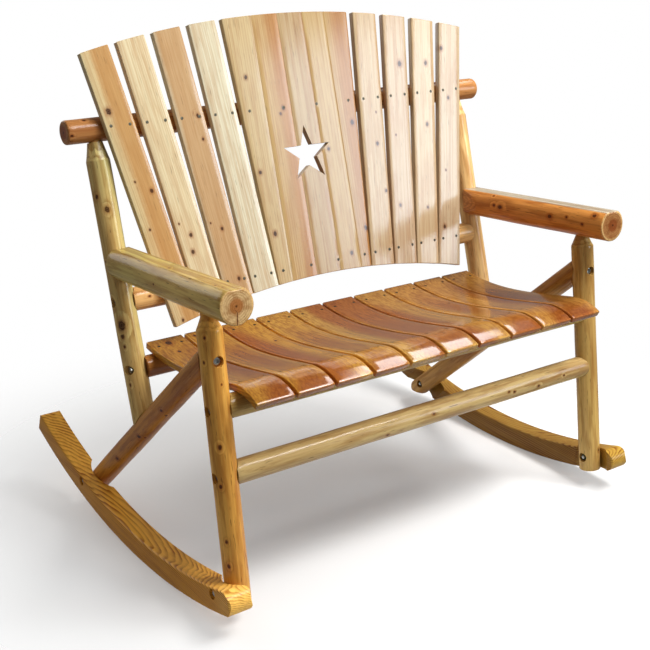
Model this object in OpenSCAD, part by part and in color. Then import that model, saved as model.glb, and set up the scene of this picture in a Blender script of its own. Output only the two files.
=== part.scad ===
// Two-seat log rocking chair: round-log frame on a pair of curved rockers,
// a fan of flat back slats either side of a star panel, and curved seat slats.
// Chair axes while modelling: the front posts stand along Z with their feet at
// z = 0, y = 0. At rest the whole chair leans back until its weight is over the
// line where the rockers meet the floor. Every node is drawn in that rest
// position, with the origin on the floor under the middle of the rockers.

/* [Overall] */
// distance between the axes of the left and right front posts
post_span = 1000; // [800:5:1250]
// height of the front-post shoulders above the post feet
front_post_h = 553; // [450:1:670]
// distance from the front-post axes to the rear-post axes, at the rear seat rail
seat_depth = 361; // [300:1:440]
// angle the whole chair leans back when it stands at rest
lean_angle = 6.9; // [4:0.1:12]

/* [Logs] */
// radius of the posts and the diagonal braces
post_r = 26; // [20:0.5:34]
// radius of the two seat rails and the front stretcher
rail_r = 25; // [18:0.5:32]
// radius of the two back rails
back_rail_r = 26.5; // [18:0.5:32]
// distance the front stretcher hangs below the seat surface
stretcher_drop = 174.5; // [110:0.5:260]
// how far the rear posts stand in from the front posts, each side
rear_post_inset = 2; // [0:0.5:8]
// how far the ears of a coped rail stop short of the post axes
ear_setback = 16; // [10:0.5:22]

/* [Rockers] */
// radius of the underside of a rocker
rocker_r = 1372; // [1100:1:1700]
// distance the centre of the rocker arc lies behind the front posts
rocker_cy = 160; // [60:1:260]
// depth of a rocker, top to underside
rocker_d = 51; // [40:0.5:64]
// thickness of a rocker, side to side
rocker_t = 52; // [36:0.5:64]
// how deep the posts and braces are let into the inner face of a rocker
rocker_lap = 21; // [14:0.5:26]
// angle from the arc centre to the front tip of a rocker
rocker_front_a = 9.7; // [6:0.1:14]
// angle from the arc centre to the rear end of a rocker
rocker_rear_a = 31; // [26:0.1:36]
// radius of the scooped notches in the inner face of a rocker
notch_r = 70; // [45:1:90]

/* [Braces] */
// distance the brace meets the front post below its shoulder
brace_drop = 50; // [30:1:90]
// angle from the arc centre to the bolt at the brace foot
brace_foot_a = 20; // [16:0.1:24]

/* [Seat] */
// number of seat slats
seat_n = 10; // [6:1:14]
// gap between neighbouring seat slats
seat_gap = 7; // [3:0.5:14]
// thickness of the seat slats
seat_t = 16; // [10:0.5:22]
// distance from the front-post shoulders down to the seat surface over the front rail
seat_drop = 115.5; // [90:0.5:180]
// distance the seat slats overhang the front posts
seat_nose = 84; // [50:1:110]
// radius of the rolled front edge of the seat
seat_roll_r = 130; // [80:1:200]

/* [Back] */
// angle of the back to the front posts
back_rake = 7.3; // [4:0.1:14]
// height of the lower back rail above the seat surface, at the rail axis
back_lift = 121.5; // [90:0.5:160]
// distance between the two back rails, along the slope of the back
back_rail_pitch = 365.4; // [300:0.2:430]
// distance the top back rail runs on past the rear-post axes, each side
top_rail_end = 64; // [30:1:120]
// thickness of the back slats and the star panel
back_t = 16; // [10:0.5:22]
// width of one back slat
slat_w = 67.5; // [50:0.5:80]
// gap between neighbouring back slats at their lower ends
slat_gap = 1.7; // [0.5:0.1:5]
// half the width of the star panel, level with the lower slat corners
panel_half = 129; // [110:0.5:150]
// angle of the side edges of the star panel to the centre line
panel_a = 3.66; // [2:0.02:6]
// angle added from one slat to the next
fan_step = 1.77; // [1:0.01:2.4]
// distance the lower slat corners hang below the lower back rail
slat_drop = 75; // [50:1:95]
// distance from the lower to the upper corners of the outer slats
slat_len = 593; // [500:1:700]
// rise of the arched top edge, corner to middle
top_rise = 59; // [20:1:90]
// rise of the arched lower edge, corner to middle
low_rise = 49; // [20:1:80]
// radius from the centre of the star to its points
star_r = 66.5; // [40:0.5:80]
// height of the star centre above the lower slat corners
star_v = 329; // [280:1:380]

/* [Arms] */
// radius of the arm logs
arm_r = 37; // [30:0.5:44]
// height of the planed top of an arm above its axis
arm_flat = 31; // [24:0.5:36]
// distance the arms reach forward of the front posts
arm_nose = 100; // [60:1:130]
// height of the arm axis at its front end, above the front-post shoulders
arm_lift = 53.5; // [40:0.5:70]
// angle the arms climb towards the back, to the square of the front posts
arm_a = 4.35; // [1:0.05:8]
// distance the arm axes stand in from the front-post axes, each side
arm_inset = 8; // [0:0.5:14]

/* [Joints and fasteners] */
// clearance left between pieces that are fitted together
fit = 0.05; // [0.02:0.01:0.3]
// radius of the bolt shanks
bolt_r = 4; // [3:0.25:6]
// radius of the bolt heads
head_r = 8; // [6:0.25:10]
// radius of the round recesses the bolt heads sit in
recess_r = 11; // [9:0.25:13]
// radius of the wood screw shanks
screw_r = 2; // [1.5:0.1:3]
// radius of the wood screw heads
screw_head_r = 3.5; // [3:0.1:5.5]

/* [Hidden] */
// OpenSCAD facet count, for the preview of round shapes
$fn = 96;
// x of the front-post axes, and of the rear-post axes
post_x = post_span / 2;
rear_x = post_x - rear_post_inset;
// x of the inner and outer faces of a rocker
rocker_in = post_x + post_r - rocker_lap;
rocker_out = rocker_in + rocker_t;
// height of the rocker arc centre, with the post feet just clear of the underside
foot_clear = 4;
rocker_cz = sqrt(rocker_r * rocker_r - rocker_cy * rocker_cy) - foot_clear;
// shape of the rocker ends: half-round nose, small round corners at the tail
rocker_mid = rocker_r - rocker_d / 2;
corner_r = 12;
nose_a = rocker_front_a - asin(rocker_d / 2 / rocker_mid);
tail_a = rocker_rear_a - asin(corner_r / rocker_mid);
// rest position: the arc centre after leaning back, over the middle of the rockers' length
rest_front = -rocker_mid * sin(nose_a + lean_angle) - rocker_d / 2;
rest_back = (rocker_r - corner_r) * sin(tail_a - lean_angle) + corner_r;
rest_y = rocker_cy * cos(lean_angle) + rocker_cz * sin(lean_angle) + (rest_front + rest_back) / 2;
rest_z = rocker_cz * cos(lean_angle) - rocker_cy * sin(lean_angle);
// brace: meets the front post at brace_z and is bolted to the rocker at brace_foot
brace_z = front_post_h - brace_drop;
foot_rad = rocker_r - 0.75 * rocker_d;
brace_foot = [rocker_cy + foot_rad * sin(brace_foot_a), rocker_cz - foot_rad * cos(brace_foot_a)];
brace_a = atan2(brace_z - brace_foot[1], brace_foot[0]);
brace_len = norm([brace_foot[0], brace_z - brace_foot[1]]);
brace_tail = 42;
// height of the rocker bolt through the foot of a front post
post_bolt_z = 34;
// heights above the post feet: seat surface, stretcher, lower back rail and arm axis
seat_z = front_post_h - seat_drop;
stretcher_z = seat_z - stretcher_drop;
lower_rail_z = seat_z + back_lift;
arm_z = front_post_h + arm_lift;
top_rail_len = 2 * (rear_x + top_rail_end);
// seat surface: a cubic behind the front rail, a roll in front of it
seat_run = seat_depth - 11;
seat_c = [-16.2, -11.2, 47.3];
seat_half = post_x - post_r - 12;
seat_w = (2 * seat_half - (seat_n - 1) * seat_gap) / seat_n;
seat_tail = seat_depth + 8;
seat_a0 = atan(seat_c[0] / seat_run);
roll_cy = seat_roll_r * sin(seat_a0);
roll_cz = seat_z - seat_roll_r * cos(seat_a0);
// where the slats bear on the rails, and the rail axes below those places
bed = seat_t + rail_r + fit;
front_bear = -bed * sin(seat_a0);
rear_bear = seat_run - bed * sin(seat_slope(seat_run - 12));
front_rail = [0, seat_top(front_bear) - bed * cos(seat_slope(front_bear))];
rear_bear_a = seat_slope(rear_bear);
rear_rail = [rear_bear + bed * sin(rear_bear_a), seat_top(rear_bear) - bed * cos(rear_bear_a)];
// back: plane of the rear posts, heights along its slope measured from the lower rail
rear_foot_y = seat_depth - rear_rail[1] * tan(back_rake);
back_y = rear_foot_y + lower_rail_z * tan(back_rake);
slat_back = -back_rail_r - fit;
slat_mid_y = slat_back - back_t / 2;
slat_pitch = slat_w + slat_gap;
fan_half = panel_half + 4 * slat_pitch + 0.3 * slat_gap;
fan_top_half = fan_half + slat_len * tan(panel_a + 3.83 * fan_step);
top_arc_r = (fan_top_half * fan_top_half + top_rise * top_rise) / (2 * top_rise);
low_arc_r = (fan_half * fan_half + low_rise * low_rise) / (2 * low_rise);
star_in_r = 0.39 * star_r;
rear_cone = 38;
rear_neck_r = 17;
rear_tenon_r = 13;
rear_top = back_rail_pitch - back_rail_r - fit;
// arms
arm_x = post_x - arm_inset;
arm_len = (seat_depth + 15 + arm_nose) / cos(arm_a);
front_cone = 24;
front_tenon_r = 15;
front_tenon_top = arm_z + arm_nose * tan(arm_a) + 2;
// fasteners
head_t = 5;
recess_d = 14;
lag_len = 95;
screw_head_t = 2.5;
screw_len = 32;
nut_af = 13;
nut_t = 6.5;
end_chamfer = 2.5;

// which sub-part to draw, or all of them

// ---- shared geometry -------------------------------------------------------

// seat surface height at y, and its slope in degrees
function seat_top(y) = y < 0
  ? roll_cz + sqrt(seat_roll_r * seat_roll_r - (y - roll_cy) * (y - roll_cy))
  : seat_z + seat_cubic(y / seat_run);
function seat_cubic(s) = seat_c[0] * s + seat_c[1] * s * s + seat_c[2] * s * s * s;
function seat_slope(y) = y < 0
  ? -asin((y - roll_cy) / seat_roll_r)
  : atan((seat_c[0] + 2 * seat_c[1] * (y / seat_run) + 3 * seat_c[2] * pow(y / seat_run, 2)) / seat_run);
function seat_point(y, t) = [y + t * sin(seat_slope(y)), seat_top(y) - t * cos(seat_slope(y))];
// points on an arc, in degrees from straight down
function arc(cy, cz, r, a0, a1, n) =
  [for (i = [0:n]) let (a = a0 + (a1 - a0) * i / n) [cy + r * sin(a), cz - r * cos(a)]];
// x of the middle of back slat k on the right-hand side, at height v up the slope
function slat_x(k, v) = panel_half + slat_pitch * (k + 0.5) + v * tan(slat_angle(k));
function slat_angle(k) = panel_a + fan_step * (k + 0.83);
function panel_x(v) = panel_half + v * tan(panel_a);
function seat_x(i) = -seat_half + seat_w / 2 + i * (seat_w + seat_gap);
// x of every screw in one row of back screws, at height v up the slope
function back_screw_x(v) = concat(
  [for (s = [-1, 1], k = [0:3], d = [-1, 1]) s * slat_x(k, v) + d * 0.32 * slat_w],
  [for (s = [-1, 1], f = [0.29, 0.87]) s * f * panel_x(v)]
);
function seat_screw_x() = [for (i = [0:seat_n - 1], d = [-1, 1]) seat_x(i) + d * 0.32 * seat_w];

// lean the chair back onto the floor
module rest() {
  translate([0, -rest_y, rocker_r - rest_z]) rotate([-lean_angle, 0, 0]) children();
}

module both_sides() {
  children();
  mirror([1, 0, 0]) children();
}

// frame of the back: X across, Z up the slope from the lower rail, -Y forwards
module back_frame() {
  translate([0, back_y, lower_rail_z]) rotate([-back_rake, 0, 0]) children();
}

// frame of a right-hand brace: Z runs down it from the front post
module brace_frame(x) {
  translate([x, 0, brace_z]) rotate([-(90 + brace_a), 0, 0]) children();
}

// frame of a right-hand arm: Z runs back along it, -Y is up
module arm_frame() {
  translate([arm_x, -arm_nose, arm_z]) rotate([-(90 - arm_a), 0, 0]) children();
}

// side profile in the YZ plane, thick along X from x0
module side_slab(x0, thick) {
  translate([x0, 0, 0]) rotate([90, 0, 90]) linear_extrude(thick) children();
}

module x_rod(x0, len, y, z, r) {
  translate([x0, y, z]) rotate([0, 90, 0]) cylinder(h = len, r = r);
}

module y_rod(x, y0, len, z, r) {
  translate([x, y0, z]) rotate([-90, 0, 0]) cylinder(h = len, r = r);
}

// round log along Z with chamfered ends
module log(len, r) {
  cylinder(h = end_chamfer, r1 = r - end_chamfer, r2 = r);
  translate([0, 0, end_chamfer]) cylinder(h = len - 2 * end_chamfer, r = r);
  translate([0, 0, len - end_chamfer]) cylinder(h = end_chamfer, r1 = r, r2 = r - end_chamfer);
}

// space taken by a right-hand front post, rear post and brace
module front_post_space() {
  translate([post_x, 0, -10]) cylinder(h = front_post_h + 10, r = post_r + fit);
}

module rear_post_space() {
  back_frame() translate([rear_x, 0, -400]) cylinder(h = rear_top + 400 - rear_cone, r = post_r + fit);
}

module brace_space() {
  brace_frame(post_x) cylinder(h = brace_len + brace_tail + 20, r = post_r + fit);
}

// hexagon across its flats, drawn as a straight-sided prism
module hex_prism(af, h) {
  linear_extrude(h) polygon([for (i = [0:5]) af / sqrt(3) * [cos(60 * i), sin(60 * i)]]);
}

// ---- fasteners: solids and the holes they need -----------------------------

// lag bolt driven inwards along -X at a right-hand post, head in its recess
module lag_bolt(x_out) {
  translate([x_out - recess_d, 0, 0]) rotate([0, 90, 0]) {
    hex_prism(nut_af, head_t);
    translate([0, 0, -lag_len]) cylinder(h = lag_len, r = bolt_r);
  }
}

module lag_hole(x_out) {
  x_rod(x_out - recess_d, 60, 0, 0, recess_r);
  x_rod(x_out - recess_d - lag_len - 1, lag_len + 2, 0, 0, bolt_r + fit);
}

// every place a lag bolt joins a rail to a right-hand post
module at_front_lags() {
  translate([0, front_rail[0], front_rail[1]]) children();
  translate([0, 0, stretcher_z]) children();
}

module at_rear_lags() {
  translate([0, rear_rail[0], rear_rail[1]]) children();
  translate([0, back_y, lower_rail_z]) children();
}

// places where a rocker is bolted to the log let into it
module at_rocker_bolts() {
  translate([0, 0, post_bolt_z]) children();
  translate([0, brace_foot[0], brace_foot[1]]) children();
}

rocker_head_x = rocker_out - 8;
rocker_nut_x = post_x - post_r + 12;

module rocker_bolt() {
  x_rod(rocker_head_x, head_t, 0, 0, head_r);
  x_rod(rocker_nut_x - 9, rocker_head_x - rocker_nut_x + 9, 0, 0, bolt_r);
}

module rocker_nut() {
  difference() {
    translate([rocker_nut_x - nut_t, 0, 0]) rotate([0, 90, 0]) hex_prism(nut_af, nut_t);
    x_rod(rocker_nut_x - 20, 40, 0, 0, bolt_r + fit);
  }
}

module rocker_bolt_hole() {
  x_rod(rocker_head_x, 40, 0, 0, recess_r);
  x_rod(rocker_nut_x - 60, 60, 0, 0, recess_r);
  x_rod(rocker_nut_x - 1, rocker_head_x - rocker_nut_x + 2, 0, 0, bolt_r + fit);
}

brace_bolt_z = brace_z - 10;
brace_bolt_len = 60;

module brace_bolt() {
  y_rod(post_x, -post_r + recess_d - head_t, head_t, brace_bolt_z, head_r);
  y_rod(post_x, -post_r + recess_d, brace_bolt_len, brace_bolt_z, bolt_r);
}

module brace_bolt_hole() {
  y_rod(post_x, -post_r - 20, 20 + recess_d, brace_bolt_z, recess_r);
  y_rod(post_x, -post_r + recess_d - 1, brace_bolt_len + 2, brace_bolt_z, bolt_r + fit);
}

// arm bolt: from behind the rear post, square to it, into the end of the arm
arm_bolt_v = (arm_z + (seat_depth + arm_nose) * tan(arm_a) - lower_rail_z) / cos(back_rake);
arm_bolt_len = 100;

module arm_bolt() {
  back_frame() translate([arm_x, 0, arm_bolt_v]) {
    y_rod(0, post_r - recess_d, head_t, 0, head_r);
    y_rod(0, post_r - recess_d - arm_bolt_len, arm_bolt_len, 0, bolt_r);
  }
}

module arm_bolt_hole() {
  back_frame() translate([arm_x, 0, arm_bolt_v]) {
    y_rod(0, post_r - recess_d, 40, 0, recess_r);
    y_rod(0, post_r - recess_d - arm_bolt_len - 1, arm_bolt_len + 2, 0, bolt_r + fit);
  }
}

// foot screw: up through the brace into the foot of the rear post
foot_v = -(lower_rail_z - brace_z + back_y * tan(brace_a)) / cos(back_rake)
  / (1 + tan(back_rake) * tan(brace_a));
foot_screw_len = 90;

module foot_screw(grow) {
  back_frame() translate([rear_x, 0, foot_v - post_r + 10]) {
    translate([0, 0, -head_t]) cylinder(h = head_t + grow, r = head_r);
    cylinder(h = foot_screw_len + grow, r = bolt_r + grow);
  }
}

module foot_screw_hole() {
  foot_screw(fit);
  back_frame() translate([rear_x, 0, foot_v - post_r - 30]) cylinder(h = 40, r = recess_r);
}

// wood screw along -Z with its head flush at the origin, and its hole
module wood_screw() {
  translate([0, 0, -screw_head_t]) cylinder(h = screw_head_t, r = screw_head_r);
  translate([0, 0, -screw_len]) cylinder(h = screw_len - screw_head_t, r = screw_r);
}

module wood_screw_hole() {
  translate([0, 0, -screw_head_t]) cylinder(h = screw_head_t + 8, r = screw_head_r + fit);
  translate([0, 0, -screw_len - fit]) cylinder(h = screw_len, r = screw_r + fit);
}

// screw frames on the seat surface at y, and on the face of the back at height v
module on_seat(x, y) {
  translate([x, y, seat_top(y)]) rotate([seat_slope(y), 0, 0]) children();
}

module on_back(x, v) {
  back_frame() translate([x, slat_back - back_t, v - slat_drop]) rotate([90, 0, 0]) children();
}

module seat_screw_row(y) {
  for (x = seat_screw_x()) on_seat(x, y) children();
}

module back_screw_row(v) {
  for (x = back_screw_x(v)) on_back(x, v) children();
}

upper_v = slat_drop + back_rail_pitch;
lower_v = slat_drop;

// ---- frame -----------------------------------------------------------------

// right-hand rocker in the YZ plane: an arc with a half-round nose and a rounded tail
module rocker_outline() {
  nose = [rocker_cy - rocker_mid * sin(nose_a), rocker_cz - rocker_mid * cos(nose_a)];
  low = [rocker_cy + (rocker_r - corner_r) * sin(tail_a), rocker_cz - (rocker_r - corner_r) * cos(tail_a)];
  top_r = rocker_r - rocker_d;
  top = [rocker_cy + (top_r + corner_r) * sin(tail_a), rocker_cz - (top_r + corner_r) * cos(tail_a)];
  polygon(concat(
    arc(rocker_cy, rocker_cz, rocker_r, -nose_a, tail_a, 72),
    arc(low[0], low[1], corner_r, tail_a + 12, tail_a + 90, 6),
    arc(top[0], top[1], corner_r, tail_a + 90, tail_a + 168, 6),
    arc(rocker_cy, rocker_cz, top_r, tail_a, -nose_a, 72),
    arc(nose[0], nose[1], rocker_d / 2, 170 - nose_a + 20, 350 - nose_a, 14)
  ));
}

module rocker() {
  color("#c9a45c") difference() {
    side_slab(rocker_in, rocker_t) rocker_outline();
    translate([post_x + post_r + fit - notch_r, 0, -80]) cylinder(h = 300, r = notch_r);
    brace_frame(post_x + post_r + fit - notch_r) translate([0, 0, brace_len - 150])
      cylinder(h = 300, r = notch_r);
    at_rocker_bolts() rocker_bolt_hole();
  }
}

module front_post() {
  color("#cfa262") difference() {
    translate([post_x, 0, 0]) union() {
      cylinder(h = front_post_h, r = post_r);
      translate([0, 0, front_post_h]) cylinder(h = front_cone, r1 = post_r, r2 = front_tenon_r);
      translate([0, 0, front_post_h + front_cone])
        cylinder(h = front_tenon_top - front_post_h - front_cone, r = front_tenon_r);
    }
    at_front_lags() lag_hole(post_x + post_r);
    translate([0, 0, post_bolt_z]) rocker_bolt_hole();
    brace_bolt_hole();
  }
}

module rear_post() {
  color("#c8a064") difference() {
    intersection() {
      back_frame() translate([rear_x, 0, foot_v]) union() {
        cylinder(h = rear_top - rear_cone - foot_v, r = post_r);
        translate([0, 0, rear_top - rear_cone - foot_v])
          cylinder(h = rear_cone, r1 = post_r, r2 = rear_neck_r);
        translate([0, 0, rear_top - foot_v]) cylinder(h = back_rail_r + 4, r = rear_tenon_r);
      }
      brace_frame(rear_x) translate([-60, -700, 0]) cube([120, 700, brace_len + 200]);
    }
    brace_space();
    at_rear_lags() lag_hole(rear_x + post_r);
    arm_bolt_hole();
    foot_screw_hole();
  }
}

module brace() {
  color("#a97b45") difference() {
    intersection() {
      brace_frame(post_x) cylinder(h = brace_len + brace_tail, r = post_r);
      x_rod(post_x - 60, 120, rocker_cy, rocker_cz, rocker_r - 4);
    }
    front_post_space();
    translate([0, brace_foot[0], brace_foot[1]]) rocker_bolt_hole();
    brace_bolt_hole();
    foot_screw_hole();
  }
}

module armrest() {
  color("#c99a5b") difference() {
    arm_frame() cylinder(h = arm_len, r = arm_r);
    arm_frame() translate([-60, -60 - arm_flat, -10]) cube([120, 60, arm_len + 20]);
    arm_frame() translate([-arm_r, -60, arm_len - 67]) rotate([0, 12.6, 0])
      translate([-60, 0, -20]) cube([60, 120, 140]);
    rear_post_space();
    translate([post_x, 0, front_post_h])
      cylinder(h = front_cone + fit, r1 = post_r + fit, r2 = front_tenon_r + fit);
    translate([post_x, 0, front_post_h + front_cone])
      cylinder(h = front_tenon_top - front_post_h - front_cone + fit, r = front_tenon_r + fit);
    arm_bolt_hole();
  }
}

// rail between the front posts, its ends coped to fit round them
module coped_rail(half, y, z, r) {
  translate([-half, y, z]) rotate([0, 90, 0]) cylinder(h = 2 * half, r = r);
}

module front_seat_rail_log() {
  color("#a99a62") difference() {
    coped_rail(post_x - ear_setback, front_rail[0], front_rail[1], rail_r);
    both_sides() {
      front_post_space();
      at_front_lags() lag_hole(post_x + post_r);
    }
    seat_screw_row(front_bear) wood_screw_hole();
  }
}

module front_stretcher_log() {
  color("#d0a05c") difference() {
    coped_rail(post_x - ear_setback, 0, stretcher_z, rail_r);
    both_sides() {
      front_post_space();
      at_front_lags() lag_hole(post_x + post_r);
    }
  }
}

module rear_seat_rail_log() {
  color("#b9854c") difference() {
    coped_rail(rear_x - ear_setback, rear_rail[0], rear_rail[1], rail_r);
    both_sides() {
      rear_post_space();
      at_rear_lags() lag_hole(rear_x + post_r);
    }
    seat_screw_row(rear_bear) wood_screw_hole();
  }
}

module lower_back_rail_log() {
  color("#c58a50") difference() {
    coped_rail(rear_x - ear_setback, back_y, lower_rail_z, back_rail_r);
    both_sides() {
      rear_post_space();
      at_rear_lags() lag_hole(rear_x + post_r);
    }
    back_screw_row(lower_v) wood_screw_hole();
  }
}

module top_back_rail_log() {
  color("#b5713c") difference() {
    back_frame() translate([-top_rail_len / 2, 0, back_rail_pitch]) rotate([0, 90, 0])
      log(top_rail_len, back_rail_r);
    both_sides() back_frame() translate([rear_x, 0, rear_top - 1])
      cylinder(h = back_rail_r + 5 + fit, r = rear_tenon_r + fit);
    back_screw_row(upper_v) wood_screw_hole();
  }
}

// ---- back ------------------------------------------------------------------

// area between the arched top and lower edges of the back, in the XZ plane
module fan_area() {
  difference() {
    translate([0, slat_len + top_rise - top_arc_r]) circle(r = top_arc_r, $fn = 360);
    translate([0, low_rise - low_arc_r]) circle(r = low_arc_r, $fn = 360);
  }
}

// board cut from the fan area, standing on the front of the back rails
module back_board() {
  back_frame() translate([0, slat_back, -slat_drop]) rotate([90, 0, 0])
    linear_extrude(back_t) intersection() {
      fan_area();
      children();
    }
}

// slat k outwards from the panel on the right-hand side
module back_slat(k) {
  color(k % 2 == 0 ? "#e0b987" : "#d09a62") difference() {
    back_board() translate([slat_x(k, 0), 0]) rotate(-slat_angle(k))
      translate([-slat_w / 2, -60]) square([slat_w, slat_len + 200]);
    for (d = [-1, 1]) {
      on_back(slat_x(k, upper_v) + d * 0.32 * slat_w, upper_v) wood_screw_hole();
      on_back(slat_x(k, lower_v) + d * 0.32 * slat_w, lower_v) wood_screw_hole();
    }
  }
}

module star() {
  polygon([for (i = [0:9]) let (r = i % 2 == 0 ? star_r : star_in_r, a = 90 + 36 * i)
    [r * cos(a), star_v + r * sin(a)]]);
}

module star_board() {
  v0 = -60;
  v1 = slat_len + 200;
  color("#d9ab74") difference() {
    back_board() difference() {
      polygon([[-panel_x(v0), v0], [panel_x(v0), v0], [panel_x(v1), v1], [-panel_x(v1), v1]]);
      star();
    }
    for (v = [lower_v, upper_v], s = [-1, 1], f = [0.29, 0.87])
      on_back(s * f * panel_x(v), v) wood_screw_hole();
  }
}

// ---- seat ------------------------------------------------------------------

seat_steps = 40;

// side profile of a seat slat: the seat surface and the same line one thickness down
module seat_profile() {
  ys = [for (i = [0:seat_steps]) -seat_nose + (seat_tail + seat_nose) * i / seat_steps];
  polygon(concat(
    [for (i = [0:seat_steps]) seat_point(ys[i], 0)],
    [for (i = [seat_steps:-1:0]) seat_point(ys[i], seat_t)]
  ));
}

module seat_slat(i) {
  color(i % 2 == 0 ? "#a8642f" : "#b5703a") difference() {
    side_slab(seat_x(i) - seat_w / 2, seat_w) seat_profile();
    for (d = [-1, 1], y = [front_bear, rear_bear])
      on_seat(seat_x(i) + d * 0.32 * seat_w, y) wood_screw_hole();
  }
}

// ---- one module per sub-part ------------------------------------------------

module rocker_left() { rest() mirror([1, 0, 0]) rocker(); }
module rocker_right() { rest() rocker(); }
module front_post_left() { rest() mirror([1, 0, 0]) front_post(); }
module front_post_right() { rest() front_post(); }
module rear_post_left() { rest() mirror([1, 0, 0]) rear_post(); }
module rear_post_right() { rest() rear_post(); }
module brace_left() { rest() mirror([1, 0, 0]) brace(); }
module brace_right() { rest() brace(); }
module armrest_left() { rest() mirror([1, 0, 0]) armrest(); }
module armrest_right() { rest() armrest(); }
module front_seat_rail() { rest() front_seat_rail_log(); }
module rear_seat_rail() { rest() rear_seat_rail_log(); }
module front_stretcher() { rest() front_stretcher_log(); }
module lower_back_rail() { rest() lower_back_rail_log(); }
module top_back_rail() { rest() top_back_rail_log(); }
module back_slat_1() { rest() mirror([1, 0, 0]) back_slat(3); }
module back_slat_2() { rest() mirror([1, 0, 0]) back_slat(2); }
module back_slat_3() { rest() mirror([1, 0, 0]) back_slat(1); }
module back_slat_4() { rest() mirror([1, 0, 0]) back_slat(0); }
module star_panel() { rest() star_board(); }
module back_slat_5() { rest() back_slat(0); }
module back_slat_6() { rest() back_slat(1); }
module back_slat_7() { rest() back_slat(2); }
module back_slat_8() { rest() back_slat(3); }
module seat_slat_1() { rest() seat_slat(0); }
module seat_slat_2() { rest() seat_slat(1); }
module seat_slat_3() { rest() seat_slat(2); }
module seat_slat_4() { rest() seat_slat(3); }
module seat_slat_5() { rest() seat_slat(4); }
module seat_slat_6() { rest() seat_slat(5); }
module seat_slat_7() { rest() seat_slat(6); }
module seat_slat_8() { rest() seat_slat(7); }
module seat_slat_9() { rest() seat_slat(8); }
module seat_slat_10() { rest() seat_slat(9); }
module rocker_bolts() { color("#8b8f90") rest() both_sides() at_rocker_bolts() rocker_bolt(); }
module rocker_nuts() { color("#4e5a4a") rest() both_sides() at_rocker_bolts() rocker_nut(); }
module brace_bolts() { color("#a9acab") rest() both_sides() brace_bolt(); }
module rail_bolts() {
  color("#6f7371") rest() both_sides() {
    at_front_lags() lag_bolt(post_x + post_r);
    at_rear_lags() lag_bolt(rear_x + post_r);
  }
}
module arm_bolts() { color("#6f7371") rest() both_sides() arm_bolt(); }
module foot_screws() { color("#6f7371") rest() both_sides() foot_screw(0); }
module back_screws_upper() { color("#5a4a38") rest() back_screw_row(upper_v) wood_screw(); }
module back_screws_lower() { color("#5a4a38") rest() back_screw_row(lower_v) wood_screw(); }
module seat_screws_front() { color("#5a4a38") rest() seat_screw_row(front_bear) wood_screw(); }
module seat_screws_rear() { color("#5a4a38") rest() seat_screw_row(rear_bear) wood_screw(); }

rocker_left();
rocker_right();
front_post_left();
front_post_right();
rear_post_left();
rear_post_right();
brace_left();
brace_right();
armrest_left();
armrest_right();
front_seat_rail();
rear_seat_rail();
front_stretcher();
lower_back_rail();
top_back_rail();
back_slat_1();
back_slat_2();
back_slat_3();
back_slat_4();
star_panel();
back_slat_5();
back_slat_6();
back_slat_7();
back_slat_8();
seat_slat_1();
seat_slat_2();
seat_slat_3();
seat_slat_4();
seat_slat_5();
seat_slat_6();
seat_slat_7();
seat_slat_8();
seat_slat_9();
seat_slat_10();
rocker_bolts();
rocker_nuts();
brace_bolts();
rail_bolts();
arm_bolts();
foot_screws();
back_screws_upper();
back_screws_lower();
seat_screws_front();
seat_screws_rear();
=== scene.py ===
import math

import bmesh
import bpy
from mathutils import Matrix, Vector, noise


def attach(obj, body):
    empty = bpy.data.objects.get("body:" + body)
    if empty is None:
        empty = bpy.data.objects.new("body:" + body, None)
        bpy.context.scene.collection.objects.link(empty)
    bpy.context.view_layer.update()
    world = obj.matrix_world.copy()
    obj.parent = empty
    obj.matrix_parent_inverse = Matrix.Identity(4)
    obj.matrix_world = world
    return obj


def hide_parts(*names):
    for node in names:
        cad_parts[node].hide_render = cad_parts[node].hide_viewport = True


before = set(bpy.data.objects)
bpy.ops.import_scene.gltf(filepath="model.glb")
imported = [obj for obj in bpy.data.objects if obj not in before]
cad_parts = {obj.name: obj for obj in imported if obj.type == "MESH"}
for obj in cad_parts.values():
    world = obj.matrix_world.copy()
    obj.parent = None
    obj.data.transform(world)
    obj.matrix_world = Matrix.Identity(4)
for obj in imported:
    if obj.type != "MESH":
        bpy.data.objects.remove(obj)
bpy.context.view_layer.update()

bl_info = {
    "name": "Log rocking chair",
    "version": (1, 0, 0),
    "blender": (4, 5, 0),
    "location": "3D View > Sidebar > Log chair",
    "description": "Builds the finished pieces of a two-seat log rocking chair on its solid model",
    "category": "Add Mesh",
}


# ---- sizes -------------------------------------------------------------------

# clearance between fitted pieces, and the radius and depths of the round recesses of bolt heads and nuts
FIT = 0.00005
RECESS_R = 0.011
POST_RECESS = 0.014
NUT_RECESS = 0.012
HEAD_RECESS = 0.008
BOLT_BORE = 0.00405
# height of the rocker bolt above the foot of a front post
POST_BOLT_Z = 0.034
# length and slope of the taper on the inner side of an arm's rear end
ARM_WEDGE = 0.067
ARM_WEDGE_A = math.radians(12.6)
# gap between a front post and the seat slat beside it
SEAT_SIDE_GAP = 0.012
# distance between a log's rings along its length
LOG_STEP = 0.014
# cones and tenons of the posts
FRONT_CONE = 0.024
FRONT_TENON_R = 0.015
REAR_CONE = 0.038
REAR_NECK_R = 0.017
REAR_TENON_R = 0.013
# wood screws: share of a slat's width from its middle, shares of the panel's half width, pockets
SCREW_SHARE = 0.32
PANEL_SHARES = (0.29, 0.87)
POCKET_R = 0.0036
POCKET_DEEP = 0.0018


def length(name, description, default):
    return bpy.props.FloatProperty(
        name=name,
        description=description,
        default=default,
        min=0.0,
        precision=4,
        subtype="DISTANCE",
        unit="LENGTH",
    )


def angle(name, description, degrees):
    return bpy.props.FloatProperty(
        name=name,
        description=description,
        default=math.radians(degrees),
        subtype="ANGLE",
        unit="ROTATION",
    )


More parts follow.
